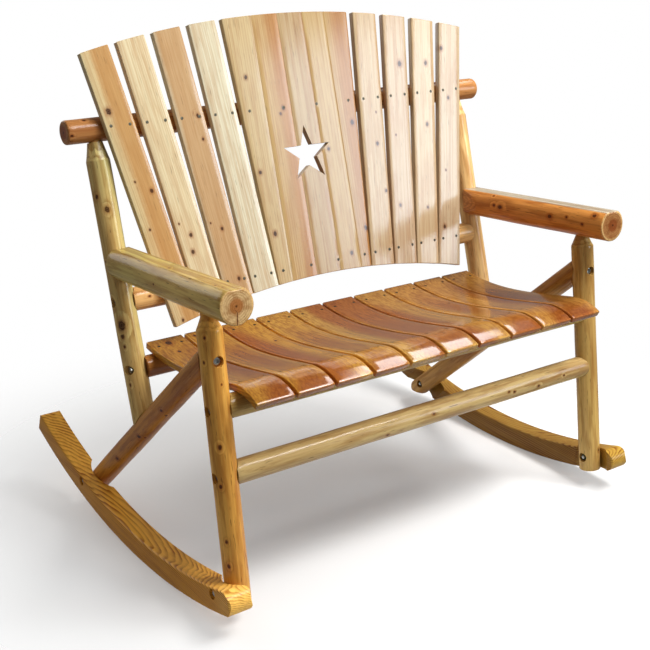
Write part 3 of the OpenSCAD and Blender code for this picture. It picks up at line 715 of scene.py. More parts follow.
def wood(
    name, sap, heart, late, spacing, heart_r, soft, rings, patches, streaks, flecks, warp, rough, coat, bump
):
    """Varnished softwood cut from a ring-and-fibre solid. Lengths are in millimetres: spacing is the
    width of a year ring, heart_r the radius where heartwood turns to sapwood, warp the wander of the rings"""
    made = bpy.data.materials.get(name)
    if made:
        return made
    made = new_material(name)
    tree = made.node_tree

    def value(kind, a, b=0.0):
        return node(tree, "ShaderNodeMath", {0: a, 1: b}, operation=kind).outputs[0]

    def vector(kind, a, b):
        return node(tree, "ShaderNodeVectorMath", {0: a, 1: b}, operation=kind)

    def ramp(x, x0, x1, y0=0.0, y1=1.0):
        links = {"Value": x, "From Min": x0, "From Max": x1, "To Min": y0, "To Max": y1}
        return node(tree, "ShaderNodeMapRange", links, interpolation_type="SMOOTHSTEP").outputs[0]

    def grit(scale, detail):
        spot = vector("MULTIPLY", grain, scale).outputs[0]
        return node(tree, "ShaderNodeTexNoise", {"Vector": spot, "Scale": 1.0, "Detail": detail, "Roughness": 0.55})

    def blend(factor, a, b, kind="MIX"):
        return node(tree, "ShaderNodeMix", {0: factor, 6: a, 7: b}, data_type="RGBA", blend_type=kind).outputs[2]

    def rgba(hex_value):
        return (*linear(hex_value), 1.0)

    grain = node(tree, "ShaderNodeAttribute", attribute_name="grain").outputs["Vector"]
    near = node(tree, "ShaderNodeAttribute", attribute_name="knot").outputs["Vector"]
    tint = node(tree, "ShaderNodeAttribute", attribute_name="tint").outputs["Color"]
    # slow wander of the rings, about 45 mm across and 300 mm along the grain
    wander = grit((1 / 45, 1 / 45, 1 / 300), 2.0).outputs["Color"]
    wander = vector("MULTIPLY", vector("SUBTRACT", wander, (0.5, 0.5, 0.5)).outputs[0], (warp, warp, 0)).outputs[0]
    bent = vector("ADD", vector("MULTIPLY", grain, (1, 1, 0)).outputs[0], wander).outputs[0]
    radius = vector("LENGTH", bent, (0, 0, 0)).outputs["Value"]
    # distance from the nearest knot in knot radii, its edge roughened at 5 mm
    rag = value("MULTIPLY", value("SUBTRACT", grit((0.2, 0.2, 0.2), 2.0).outputs[0], 0.5), 0.6)
    far = value("ADD", vector("LENGTH", near, (0, 0, 0)).outputs["Value"], rag)
    radius = value("ADD", radius, value("MULTIPLY", ramp(far, 0.3, 3.0, 1.0, 0.0), 0.9 * spacing))
    # year rings: a slow rise to the dark late wood and a quick fall, stronger in some places
    turn = value("FRACT", value("DIVIDE", radius, spacing))
    band = value("MULTIPLY", ramp(turn, 0.25, 0.88), ramp(turn, 0.9, 1.0, 1.0, 0.0))
    band = value("MULTIPLY", band, ramp(grit((1 / 18, 1 / 18, 1 / 200), 2.0).outputs[0], 0.35, 0.65, 0.35, 1.0))
    inner = ramp(value("ADD", radius, value("MULTIPLY", rag, soft)), heart_r - soft, heart_r + soft, 1.0, 0.0)
    shade = blend(inner, rgba(sap), rgba(heart))
    # patches 12 mm wide and 110 mm long, and thin dark flecks up to 30 mm long
    patch = ramp(grit((1 / 12, 1 / 12, 1 / 110), 3.0).outputs[0], 0.46, 0.62)
    shade = blend(value("MULTIPLY", patch, patches), shade, rgba(late))
    # straight streaks 4 mm wide that run most of a board's length
    streak = ramp(grit((1 / 4, 1 / 4, 1 / 700), 3.0).outputs[0], 0.42, 0.66)
    shade = blend(value("MULTIPLY", streak, streaks), shade, rgba(late))
    shade = blend(value("MULTIPLY", band, rings), shade, rgba(late))
    shade = blend(ramp(radius, 1.0, 3.5, 0.8, 0.0), shade, rgba(paint().knot_core))
    # fibres, drawn 1 mm wide so that they show
    fibre = grit((1 / 1.1, 1 / 1.1, 1 / 60), 2.0).outputs[0]
    tone = ramp(fibre, 0.25, 0.75, 0.93, 1.04)
    shade = blend(1.0, shade, node(tree, "ShaderNodeCombineColor", {0: tone, 1: tone, 2: tone}).outputs[0], "MULTIPLY")
    fleck = ramp(grit((1 / 2.6, 1 / 2.6, 1 / 30), 1.0).outputs[0], 0.66, 0.76)
    shade = blend(value("MULTIPLY", fleck, flecks), shade, rgba(paint().knot_core))
    # a warm stain round each knot, then its dark core
    shade = blend(value("MULTIPLY", ramp(far, 0.7, 2.0, 1.0, 0.0), 0.5), shade, rgba(paint().knot_halo))
    core = ramp(far, 0.5, 1.0, 1.0, 0.0)
    eye = value("ADD", value("MULTIPLY", value("SINE", value("MULTIPLY", far, 15.0)), 0.1), 0.85)
    shade = blend(value("MULTIPLY", core, eye), shade, rgba(paint().knot_core))
    shade = blend(1.0, shade, tint, "MULTIPLY")
    height = value("ADD", value("MULTIPLY", fibre, 0.6), value("MULTIPLY", band, 0.4))
    lumps = node(tree, "ShaderNodeBump", {"Height": height, "Strength": 1.0, "Distance": bump})
    surface = node(
        tree,
        "ShaderNodeBsdfPrincipled",
        {
            "Base Color": shade,
            "Roughness": rough,
            "Normal": lumps.outputs[0],
            "Specular IOR Level": 0.05,
            "Coat Weight": coat,
            "Coat Roughness": rough * 0.45,
        },
    )
    plug(tree, surface)
    return made


def peeled_log():
    """Peeled, varnished softwood log: honey with cloudy brown patches, rings on cut ends"""
    c = paint()
    return wood("varnished_peeled_softwood_log", c.log_sap, c.log_heart, c.log_late,
                4.6, 15.0, 4.0, 0.60, 0.45, 0.25, 0.6, 5.0, 0.36, 0.4, 0.00035)


def sawn_pine():
    """Sawn yellow pine: strong contrast between early and late wood where the arc cuts the rings"""
    c = paint()
    return wood("varnished_sawn_yellow_pine", c.rocker_sap, c.rocker_sap, c.rocker_late,
                4.2, 10.0, 4.0, 1.0, 0.15, 0.1, 0.0, 14.0, 0.45, 0.25, 0.0004)


def planed_slat():
    """Planed knotty softwood: cream sapwood to tan heartwood under a clear satin varnish"""
    c = paint()
    return wood("varnished_planed_knotty_pine", c.slat_sap, c.slat_heart, c.slat_late,
                4.2, 58.0, 9.0, 0.22, 0.25, 0.32, 0.3, 8.0, 0.34, 0.8, 0.0001)


def planed_seat():
    """Planed cedar: red-brown heartwood with pale sapwood streaks under a full gloss varnish"""
    c = paint()
    return wood("varnished_planed_red_cedar", c.seat_sap, c.seat_heart, c.seat_late,
                5.0, 62.0, 14.0, 0.28, 0.20, 0.5, 0.15, 9.0, 0.24, 0.9, 0.0001)


def metal(name, hex_value, rough, grime):
    """Plated steel: dull grey with a fine cloudy bloom in the plating"""
    made = bpy.data.materials.get(name)
    if made:
        return made
    made = new_material(name)
    tree = made.node_tree
    where = node(tree, "ShaderNodeTexCoord").outputs["Object"]
    # bloom about 2 mm across
    cloud = node(tree, "ShaderNodeTexNoise", {"Vector": where, "Scale": 500.0, "Detail": 3.0}).outputs[0]
    base = (*linear(hex_value), 1.0)
    dark = tuple(v * grime for v in base[:3]) + (1.0,)
    shade = node(tree, "ShaderNodeMix", {0: cloud, 6: dark, 7: base}, data_type="RGBA").outputs[2]
    surface = node(tree, "ShaderNodeBsdfPrincipled", {"Base Color": shade, "Metallic": 0.9, "Roughness": rough})
    plug(tree, surface)
    return made


# ---- pieces ----------------------------------------------------------------------


def along_x(x, y, z, toward=1):
    """Frame at a point with its Z axis along X"""
    return Matrix.Translation((x, y, z)) @ Matrix.Rotation(toward * math.pi / 2, 4, "Y")


def along_y(x, y, z, toward=1):
    return Matrix.Translation((x, y, z)) @ Matrix.Rotation(-toward * math.pi / 2, 4, "X")


SIDES = (("left", -1), ("right", 1))


def log_piece(name, mesh, sign, place, seed, **marks):
    """Marks a log, mirrored first on the left-hand side, and puts it in the chair"""
    if sign < 0:
        mirrored(mesh)
    mark_log(mesh, name, seed, **marks)
    piece(name + "_log", mesh, place, [name], peeled_log())


class LOGCHAIR_OT_rockers(bpy.types.Operator):
    """Build the two curved rockers with their scooped notches and bolt recesses"""

    bl_idname = "log_chair.rockers"
    bl_label = "Rockers"

    def execute(self, context):
        d = layout()
        s = d.s
        for n, (side, sign) in enumerate(SIDES):
            rings = []
            section = rounded_section(s.rocker_t / 2, s.rocker_d / 2, 0.0045, 4)
            x_mid = (d.rocker_in + d.rocker_out) / 2

            def ring(a, half, inset):
                points = []
                for across, through in section:
                    q = max(-half, min(half, through)) if half < s.rocker_d / 2 else through
                    r = d.rocker_mid - q
                    x = across * (1 - inset / (s.rocker_t / 2))
                    points.append(Vector((x_mid + x, s.rocker_cy + r * math.sin(a), d.rocker_cz - r * math.cos(a))))
                return points

            nose = s.rocker_d / 2
            tip = -d.nose_a - (nose - 0.0002) / d.rocker_mid
            ends = [0.0, 0.04, 0.1, 0.2, 0.33, 0.5, 0.7, 0.85, 1.0]
            for f in ends:
                half = math.sqrt(max(0.0, 1 - (1 - f) ** 2)) * nose
                inset = 0.004 * max(0, 1 - f * 6)
                rings.append(ring(tip + f * nose / d.rocker_mid, max(half, 0.0015), inset))
            count = 110
            rings += [ring(-d.nose_a + (d.tail_a + d.nose_a) * i / count, 1, 0) for i in range(1, count)]
            for f in (0.0, 0.3, 0.6, 0.8, 0.93, 1.0):
                half = s.rocker_d / 2 - d.corner_r * (1 - math.sqrt(max(0.0, 1 - f * f)))
                rings.append(ring(d.tail_a + f * (d.corner_r - 0.0002) / d.rocker_mid, half, 0.004 * max(0, f * 4 - 3)))
            mesh = skin("rocker", capped(rings))
            fit = s.post_r + FIT
            brace = Matrix.Translation((d.post_x + fit - s.notch_r, 0, d.brace_z)) @ Matrix.Rotation(
                -(math.pi / 2 + d.brace_a), 4, "X"
            )
            scoops = rods([
                (Matrix.Translation((d.post_x + fit - s.notch_r, 0, -0.08)), s.notch_r, 0.3),
                (brace @ Matrix.Translation((0, 0, d.brace_len - 0.15)), s.notch_r, 0.3),
            ])
            recesses = rods([(along_x(d.rocker_out - HEAD_RECESS, y, z), RECESS_R, 0.05) for y, z in d.rocker_spots])
            bores = rods([(along_x(d.post_x, y, z), BOLT_BORE, 0.1) for y, z in d.rocker_spots])
            mesh = cut(mesh, scoops, recesses, bores)
            if sign < 0:
                mirrored(mesh)
            nose_shade = (1.2, 1.4, 2.2) if sign < 0 else (1.5, 1.6, 1.3)
            # the plank's straight grain runs from tip to tail, its pith below the outer face
            # edge darkens both sides of the rocker with a painted shade, as less light falls on the sides than on the
            # top
            mark_board(mesh, "rocker_" + side, sign * x_mid, 0.0, (sign * 0.034, -0.090, 400 * n),
                       along="y", climb=(s.rocker_rear_a - s.rocker_front_a) / 2,
                       edge=(s.rocker_t / 2, 0.0006, (0.8, 0.72, 0.62)), end=(0.0, -0.045, nose_shade))
            piece("rocker_%s_pine" % side, mesh, d.rest, ["rocker_" + side], sawn_pine())
        return {"FINISHED"}


class LOGCHAIR_OT_front_posts(bpy.types.Operator):
    """Build the front posts with whittled shoulders, flat feet and bolt recesses"""

    bl_idname = "log_chair.front_posts"
    bl_label = "Front posts"

    def execute(self, context):
        d = layout()
        s = d.s
        for n, (side, sign) in enumerate(SIDES):
            shoulder, cone, top = s.front_post_h, s.front_post_h + FRONT_CONE, d.front_tenon_top

            def radius(z, a):
                if z <= shoulder:
                    return s.post_r
                f = min(1, (z - shoulder) / (cone - shoulder))
                return (s.post_r + (FRONT_TENON_R - s.post_r) * f) * whittled(a, f)

            marks = (shoulder - 0.001, shoulder + 0.001, cone, shoulder + 0.012)
            rings = log_rings(lambda x, y: 0.0, lambda x, y: top, radius, 3.7 + n * 9, round_over=0.0025, marks=marks)
            mesh = skin("post", rings)
            mesh.transform(Matrix.Translation((d.post_x, 0, 0)))
            recess = [(along_x(d.post_x + s.post_r - POST_RECESS, y, z), RECESS_R, 0.04)
                      for y, z in (d.front_rail, (0, d.stretcher_z))]
            recess.append((along_x(d.post_x - s.post_r + NUT_RECESS - 0.05, 0, POST_BOLT_Z), RECESS_R, 0.05))
            recess.append((along_y(d.post_x, -s.post_r + POST_RECESS, d.brace_z - 0.01, -1), RECESS_R, 0.04))
            mesh = cut(mesh, rods(recess))
            mesh.transform(Matrix.Translation((-d.post_x, 0, 0)))
            place = d.rest @ Matrix.Translation((sign * d.post_x, 0, 0))
            log_piece("front_post_" + side, mesh, sign, place, 2.0 + n * 5)
        return {"FINISHED"}


class LOGCHAIR_OT_rear_posts(bpy.types.Operator):
    """Build the rear posts, coped onto the braces and pointed up into the top rail"""

    bl_idname = "log_chair.rear_posts"
    bl_label = "Rear posts"

    def execute(self, context):
        d = layout()
        s = d.s
        a, r = d.brace_a, s.back_rake
        for n, (side, sign) in enumerate(SIDES):
            def low(x, y):
                h = math.sqrt(max(0.0, (s.post_r + FIT) ** 2 - (x - s.rear_inset) ** 2))
                reach = h - d.back_y * math.sin(a) - (d.lower_rail_z - d.brace_z) * math.cos(a)
                return (reach - y * math.sin(a - r)) / math.cos(a - r)

            top = d.rear_top + s.back_rail_r + 0.004
            start = d.rear_top - REAR_CONE

            def radius(z, a):
                if z <= start:
                    return s.post_r
                if z > d.rear_top:
                    return REAR_TENON_R
                f = (z - start) / REAR_CONE
                return (s.post_r + (REAR_NECK_R - s.post_r) * f) * whittled(a, f)

            marks = (start - 0.001, start + 0.001, d.rear_top - 0.0001, d.rear_top + 0.0002, start + 0.02)
            rings = log_rings(low, lambda x, y: top, radius, 21.3 + n * 7, round_over=0.0015, marks=marks)
            mesh = skin("post", rings)
            recess = []
            for y, z in (d.rear_rail, (d.back_y, d.lower_rail_z)):
                p = d.back_frame.inverted() @ Vector((d.rear_x, y, z))
                recess.append((along_x(s.post_r - POST_RECESS, p.y, p.z), RECESS_R, 0.04))
            recess.append((along_y(d.arm_x - d.rear_x, s.post_r - POST_RECESS, d.arm_bolt_v), RECESS_R, 0.04))
            mesh = cut(mesh, rods(recess))
            place = d.rest @ d.back_frame @ Matrix.Translation((sign * d.rear_x, 0, 0))
            log_piece("rear_post_" + side, mesh, sign, place, 11.0 + n * 4)
        return {"FINISHED"}


class LOGCHAIR_OT_braces(bpy.types.Operator):
    """Build the diagonal braces between the front posts and the rockers"""

    bl_idname = "log_chair.braces"
    bl_label = "Braces"

    def execute(self, context):
        d = layout()
        s = d.s
        a = d.brace_a
        for n, (side, sign) in enumerate(SIDES):
            def low(x, y):
                return (math.sqrt(max(0.0, (s.post_r + FIT) ** 2 - x * x)) + y * math.sin(a)) / math.cos(a)

            def high(x, y):
                px, py = -y * math.sin(a) - s.rocker_cy, d.brace_z - y * math.cos(a) - d.rocker_cz
                along = px * math.cos(a) - py * math.sin(a)
                rad = s.rocker_r - 0.004
                reach = -along + math.sqrt(along**2 - (px * px + py * py - rad * rad))
                return min(d.brace_len + 0.042, reach)

            rings = log_rings(low, high, lambda z, a: s.post_r, 41.3 + n * 5, round_over=0.0015)
            mesh = skin("brace", rings)
            mesh = cut(mesh, rods([(along_x(-s.post_r + NUT_RECESS - 0.05, 0, d.brace_len), RECESS_R, 0.05)]))
            down = Matrix.Translation((sign * d.post_x, 0, d.brace_z)) @ Matrix.Rotation(-(math.pi / 2 + a), 4, "X")
            log_piece("brace_" + side, mesh, sign, d.rest @ down, 31.0 + n * 4)
        return {"FINISHED"}


class LOGCHAIR_OT_arms(bpy.types.Operator):
    """Build the arm logs with planed tops, trimmed inner corners and sawn front ends"""

    bl_idname = "log_chair.arms"
    bl_label = "Arms"

    def execute(self, context):
        d = layout()
        s = d.s
        b, r = s.arm_a, s.back_rake
        for n, (side, sign) in enumerate(SIDES):
            off = d.rear_x - d.arm_x

            def high(x, y):
                gap = (s.post_r + FIT) ** 2 - (x - off) ** 2
                if gap <= 0:
                    return d.arm_len
                face = (s.arm_nose + d.back_y) * math.cos(r) - y * math.sin(b) * math.cos(r)
                face += (d.arm_z - d.lower_rail_z - y * math.cos(b)) * math.sin(r) - math.sqrt(gap)
                return min(d.arm_len, face / math.cos(b + r))

            rings = log_rings(lambda x, y: 0.0, high, lambda z, a: s.arm_r, 61.3 + n * 5, turns=72, flat=s.arm_flat)
            mesh = skin("arm", rings)
            wedge = bmesh.new()
            bmesh.ops.create_cube(wedge, size=1.0)
            shape = (
                Matrix.Translation((-s.arm_r, 0, d.arm_len - ARM_WEDGE))
                @ Matrix.Rotation(ARM_WEDGE_A, 4, "Y")
                @ Matrix.Translation((-0.03, 0, 0.05))
                @ Matrix.Diagonal((0.06, 0.14, 0.14, 1))
            )
            bmesh.ops.transform(wedge, matrix=shape, verts=wedge.verts)
            tool = bpy.data.meshes.new("wedge")
            wedge.to_mesh(tool)
            wedge.free()
            mesh = cut(mesh, tool)
            # shades of the bark-side rim and the cut end inside it, and painted light on the planed top: a painted
            # shade darkens the left arm's top and a painted whitish reflection lightens the right arm's top
            end_shade = (0.72, 0.72, 1.00) if sign < 0 else (0.6, 0.68, 1.0)
            top_painted_light = (0.70, 0.70, 0.66) if sign < 0 else (0.75, 1.6, 5.5)
            place = d.rest @ Matrix.Translation((sign * d.arm_x, -s.arm_nose, d.arm_z)) @ Matrix.Rotation(
                -(math.pi / 2 - b), 4, "X"
            )
            log_piece("armrest_" + side, mesh, sign, place, 51.0 + n * 4,
                      rim=(s.arm_r - 0.0065, (1.05, 1.02, 0.95), end_shade), planed=(s.arm_flat - 0.0008, top_painted_light))
        return {"FINISHED"}


class LOGCHAIR_OT_rails(bpy.types.Operator):
    """Build the seat rails, the stretcher and the lower back rail with their coped ends, and the top rail"""

    bl_idname = "log_chair.rails"
    bl_label = "Rails"

    def execute(self, context):
        d = layout()
        s = d.s
        fit = s.post_r + FIT
        turn = Matrix.Rotation(math.pi / 2, 4, "Y")
        rear_off = (d.rear_rail[0] - s.seat_depth) * math.cos(s.back_rake)
        # name, half length to the post axes, post offset across, (y, z), radius
        rows = (
            ("front_seat_rail", d.post_x, 0.0, d.front_rail, s.rail_r),
            ("front_stretcher", d.post_x, 0.0, (0.0, d.stretcher_z), s.rail_r),
            ("rear_seat_rail", d.rear_x, rear_off, d.rear_rail, s.rail_r),
            ("lower_back_rail", d.rear_x, 0.0, (d.back_y, d.lower_rail_z), s.back_rail_r),
        )
        for n, (name, half, off, (y0, z0), rad) in enumerate(rows):
            rake = s.back_rake if half == d.rear_x else 0.0

            def end(x, y):
                # rail frame: its x points down, its y points back
                across = (y + off) * math.cos(rake) + x * math.sin(rake)
                cope = math.sqrt(max(0.0, fit * fit - across * across))
                return max(-(half - s.ear_setback), -half + cope)

            rings = log_rings(end, lambda x, y: -end(x, y), lambda z, a: rad, 81.0 + n * 6.3, round_over=0.0012)
            mesh = skin(name, rings)
            log_piece(name, mesh, 1, d.rest @ Matrix.Translation((0, y0, z0)) @ turn, 71.0 + n * 3)
        half = d.rear_x + s.top_rail_end
        rings = log_rings(lambda x, y: -half, lambda x, y: half, lambda z, a: s.back_rail_r, 121.0, round_over=0.004)
        mesh = skin("top", rings)
        # tenon sockets; the rail frame's x points down the slope of the back
        sockets = [
            (along_x(s.back_rail_r + 0.002, 0, sign * d.rear_x, -1), REAR_TENON_R + 0.0001, 0.0325) for sign in (-1, 1)
        ]
        mesh = cut(mesh, rods(sockets))
        place = d.rest @ d.back_frame @ Matrix.Translation((0, 0, s.rail_pitch)) @ turn
        log_piece("top_back_rail", mesh, 1, place, 93.0)
        return {"FINISHED"}


def board_rings(left, right, low, high, half_t, edge_left, edge_right, count=44):
    """Rings of a board standing in XZ between two side lines, its ends on two arcs"""
    rings = []

    def ring(t, inset):
        points = []
        w = (right(0.3) - left(0.3)) / 2
        base = rounded_section(w, half_t, max(edge_left, edge_right), 3)
        base = widened(base, 6)
        for across, through in base:
            f = (across + w) / (2 * w)
            r = edge_left if f < 0.5 else edge_right
            big = max(edge_left, edge_right)
            tight = through if abs(through) < half_t - big else math.copysign(
                half_t - (half_t - abs(through)) * (r / big), through)
            u0 = left(0) + f * (right(0) - left(0))
            u1 = left(s_len) + f * (right(s_len) - left(s_len))
            v0, v1 = low(u0), high(u1)
            v = v0 + (v1 - v0) * t
            u = left(v) + f * (right(v) - left(v))
            v0, v1 = low(u), high(u)
            v = v0 + (v1 - v0) * t
            u = left(v) + f * (right(v) - left(v))
            mid = (left(v) + right(v)) / 2
            u = mid + (u - mid) * (1 - inset / w)
            v += inset if t < 0.5 else -inset
            if inset and t in (0.0, 1.0):
                v += -inset if t < 0.5 else inset
            points.append(Vector((u, tight * (1 - inset / half_t), v)))
        return points

    s_len = 0.6
    rings.append(ring(0.0, 0.0012))
    rings.extend(ring(i / count, 0.0) for i in range(count + 1))
    rings.append(ring(1.0, 0.0012))
    # pull the first and last full rings off the end faces, to leave a small rounded arris
    for j in range(len(rings[0])):
        rings[1][j].z += 0.0012
        rings[-2][j].z -= 0.0012
    return capped(rings)


def back_mesh(d, left, right, edge_left, edge_right, count=44):
    s = d.s
    rings = board_rings(left, right, d.arc_low, d.arc_top, s.back_t / 2, edge_left, edge_right, count)
    mesh = skin("board", rings)
    mesh.transform(Matrix.Translation((0, d.slat_back - s.back_t / 2, -s.slat_drop)))
    return mesh


def screw_pockets(d, places):
    """Cutters for the screw heads of the back, given (x, v)"""
    s = d.s
    return rods([
        (along_y(x, d.slat_back - s.back_t + POCKET_DEEP, v - s.slat_drop, -1), POCKET_R, 0.01) for x, v in places
    ])


class LOGCHAIR_OT_back_slats(bpy.types.Operator):
    """Build the eight fan slats of the back"""

    bl_idname = "log_chair.back_slats"
    bl_label = "Back slats"

    def execute(self, context):
        d = layout()
        s = d.s
        # pith of each board: across and through in metres, along in millimetres
        piths = ((0.030, 0.030, 50), (-0.090, 0.060, 350), (0.020, -0.035, 750), (0.105, 0.050, 1150),
                 (0.045, 0.050, 1550), (-0.030, 0.060, 1950), (0.060, -0.060, 2350), (0.020, 0.055, 2750))
        for i, pith in enumerate(piths, 1):
            sign, k = (-1, 4 - i) if i < 5 else (1, i - 5)
            lean = d.slat_angle(k)
            half = s.slat_w / 2 / math.cos(lean)
            mesh = back_mesh(d, lambda v: d.slat_x(k, v) - half, lambda v: d.slat_x(k, v) + half, 0.0025, 0.0025)
            places = [(d.slat_x(k, v) + q * SCREW_SHARE * s.slat_w, v) for v in (d.upper_v, d.lower_v) for q in (-1, 1)]
            mesh = cut(mesh, screw_pockets(d, places))
            if sign < 0:
                mirrored(mesh)
            base = sign * d.slat_x(k, s.slat_drop)
            board = "back_slat_%d" % i
            mark_board(mesh, board, base, sign * lean, (pith[0], pith[1] - 0.034, pith[2]))
            piece(board + "_board", mesh, d.rest @ d.back_frame, [board], planed_slat())
        return {"FINISHED"}


class LOGCHAIR_OT_star_panel(bpy.types.Operator):
    """Build the edge-glued boards of the star panel and cut the star through them"""

    bl_idname = "log_chair.star_panel"
    bl_label = "Star panel"

    def execute(self, context):
        d = layout()
        s = d.s
        seams = (-0.094, -0.026, 0.042, 0.102)
        star_in = 0.39 * s.star_r
        outline = []
        for i in range(10):
            r, a = (s.star_r if i % 2 == 0 else star_in), math.radians(90 + 36 * i)
            outline.append((r * math.cos(a), s.star_v - s.slat_drop + r * math.sin(a)))
        piths = (
            (-0.045, 0.040, 90), (-0.02, -0.055, 490), (0.05, 0.050, 890), (0.030, 0.075, 1290), (0.16, -0.050, 1690),
        )
        places = [(q * f * d.panel_x(v), v) for v in (d.upper_v, d.lower_v) for q in (-1, 1) for f in PANEL_SHARES]
        parts = []
        for n, pith in enumerate(piths):
            left = (lambda v: -d.panel_x(v)) if n == 0 else (lambda v, u=seams[n - 1]: u)
            right = (lambda v: d.panel_x(v)) if n == 4 else (lambda v, u=seams[n]: u)
            mesh = back_mesh(d, left, right, 0.0025 if n == 0 else 0.0004, 0.0025 if n == 4 else 0.0004)
            star = bmesh.new()
            corners = [
                [star.verts.new((x, y, z)) for x, z in outline]
                for y in (d.slat_back - s.back_t - 0.02, d.slat_back + 0.02)
            ]
            star.faces.new(corners[0])
            star.faces.new(corners[1][::-1])
            for i in range(10):
                k = (i + 1) % 10
                star.faces.new((corners[0][k], corners[0][i], corners[1][i], corners[1][k]))
            bmesh.ops.recalc_face_normals(star, faces=star.faces)
            tool = bpy.data.meshes.new("star")
            star.to_mesh(tool)
            star.free()
            mesh = cut(mesh, tool, screw_pockets(d, places))
            mark_board(mesh, "star_panel_%d" % (n + 1), 0.0, 0.0, (pith[0], pith[1] - 0.034, pith[2]))
            parts.append(mesh)
        piece("star_panel_boards", merged(parts), d.rest @ d.back_frame, ["star_panel"], planed_slat(), 28)
        return {"FINISHED"}


class LOGCHAIR_OT_seat(bpy.types.Operator):
    """Build the ten dished seat slats with their rolled front edge"""

    bl_idname = "log_chair.seat"
    bl_label = "Seat slats"

    def execute(self, context):
        d = layout()
        s = d.s
        width = d.seat_w
        section = widened(rounded_section(width / 2, s.seat_t / 2, 0.003, 4), 6)
        # pith of each slat: across from its middle, and depth from its own
        piths = ((0.035, -0.045), (0.004, -0.050), (-0.050, -0.030), (-0.006, -0.052), (0.052, 0.030),
                 (0.000, 0.050), (-0.052, -0.040), (0.010, -0.050), (0.050, -0.040), (-0.020, -0.050))
        for i, (across, depth) in enumerate(piths):
            x0 = d.seat_x(i)

            def ring(y, inset, push):
                a, top = d.seat_slope(y), d.seat_top(y)
                points = []
                for u, q in shrunk(section, inset) if inset else section:
                    t = s.seat_t / 2 - q
                    points.append(Vector((
                        x0 + u,
                        y + t * math.sin(a) + push * math.cos(a),
                        top - t * math.cos(a) + push * math.sin(a),
                    )))
                return points

            count = 64
            ys = [-s.seat_nose + (d.seat_tail + s.seat_nose) * j / count for j in range(count + 1)]
            rings = [ring(ys[0], 0.0025, 0.0), ring(ys[0], 0.0008, 0.0008), ring(ys[0], 0.0, 0.0025)]
            rings += [ring(y, 0, 0) for y in ys[1:-1]]
            rings += [ring(ys[-1], 0.0, -0.0025), ring(ys[-1], 0.0008, -0.0008), ring(ys[-1], 0.0025, 0.0)]
            mesh = skin("seat", capped(rings))
            pockets = []
            for y in (d.front_bear, d.rear_bear):
                for q in (-1, 1):
                    at = Matrix.Translation((x0 + q * SCREW_SHARE * width, y, d.seat_top(y))) @ Matrix.Rotation(
                        d.seat_slope(y), 4, "X"
                    )
                    pockets.append((at @ Matrix.Translation((0, 0, -POCKET_DEEP)), POCKET_R, 0.01))
            mesh = cut(mesh, rods(pockets))
            mark_board(mesh, "seat_slat_%d" % (i + 1), x0, 0.0, (across, d.seat_z - 0.012 + depth, 300 * i),
                       along="y", edge=(width / 2, 0.0025, (1.5, 1.6, 1.6)),
                       end=(0.0035 - s.seat_nose, 0.001 - s.seat_nose, (1.5, 1.7, 2.0)))
            piece("seat_slat_%d_board" % (i + 1), mesh, d.rest, ["seat_slat_%d" % (i + 1)], planed_seat())
        return {"FINISHED"}


def lathe(profile, turns=32, star=None):
    """Mesh turned about Z from (radius, height) pairs; star pinches rings inside that radius"""
    rings = []
    for r, z in profile:
        if r <= 0:
            rings.append([Vector((0, 0, z))])
            continue
        ring = []
        for j in range(turns):
            a = 2 * math.pi * j / turns
            q = r * (0.42 + 0.58 * abs(math.cos(2 * a)) ** 3) if star and r <= star else r
            ring.append(Vector((q * math.cos(a), q * math.sin(a), z)))
        rings.append(ring)
    return skin("turned", rings)


def hexagon(af, h, bore):
    """Hexagon head or nut with chamfered corners; bore 0 makes a closed head"""
    rings = []
    for scale, z in ((0.93, 0), (1.0, h * 0.14), (1.0, h * 0.86), (0.93, h)):
        ring = []
        for j in range(48):
            a = 2 * math.pi * j / 48
            wedge = (a + math.pi / 6) % (math.pi / 3) - math.pi / 6
            r = af / 2 / math.cos(wedge)
            r = min(r, af / 2 * 1.155 * scale)
            ring.append(Vector((r * math.cos(a), r * math.sin(a), z)))
        rings.append(ring)
    if bore:
        inner = [[Vector((bore * math.cos(2 * math.pi * j / 48), bore * math.sin(2 * math.pi * j / 48), z))
                  for j in range(48)] for z in (h, 0)]
        mesh = skin("nut", rings + inner + [rings[0]])
        bm = bmesh.new()
        bm.from_mesh(mesh)
        bmesh.ops.remove_doubles(bm, verts=bm.verts, dist=1e-6)
        bm.to_mesh(mesh)
        bm.free()
        tidy_normals(mesh)
        return mesh
    return skin("head", [[Vector((0, 0, 0))]] + rings + [[Vector((0, 0, h))]])


def cap_bolt(reach):
    """Bolt with a round socket head, its shank reaching down from the origin"""
    return lathe([
        (0, -reach), (0.0035, -reach), (0.004, -reach + 0.001), (0.004, 0), (0.008, 0), (0.008, 0.0035),
        (0.0075, 0.0046), (0.0066, 0.005), (0.0042, 0.005), (0.0040, 0.0022), (0, 0.0018),
    ], 40)


def scattered(name, source, places, node_name, material, rest):
    """One piece made of a copy of the source mesh at each place"""
    copies = []
    for place in places:
        mesh = source.copy()
        mesh.transform(place)
        if place.determinant() < 0:
            tidy_normals(mesh)
        copies.append(mesh)
    return piece(name, merged(copies), rest, [node_name], material, 40)


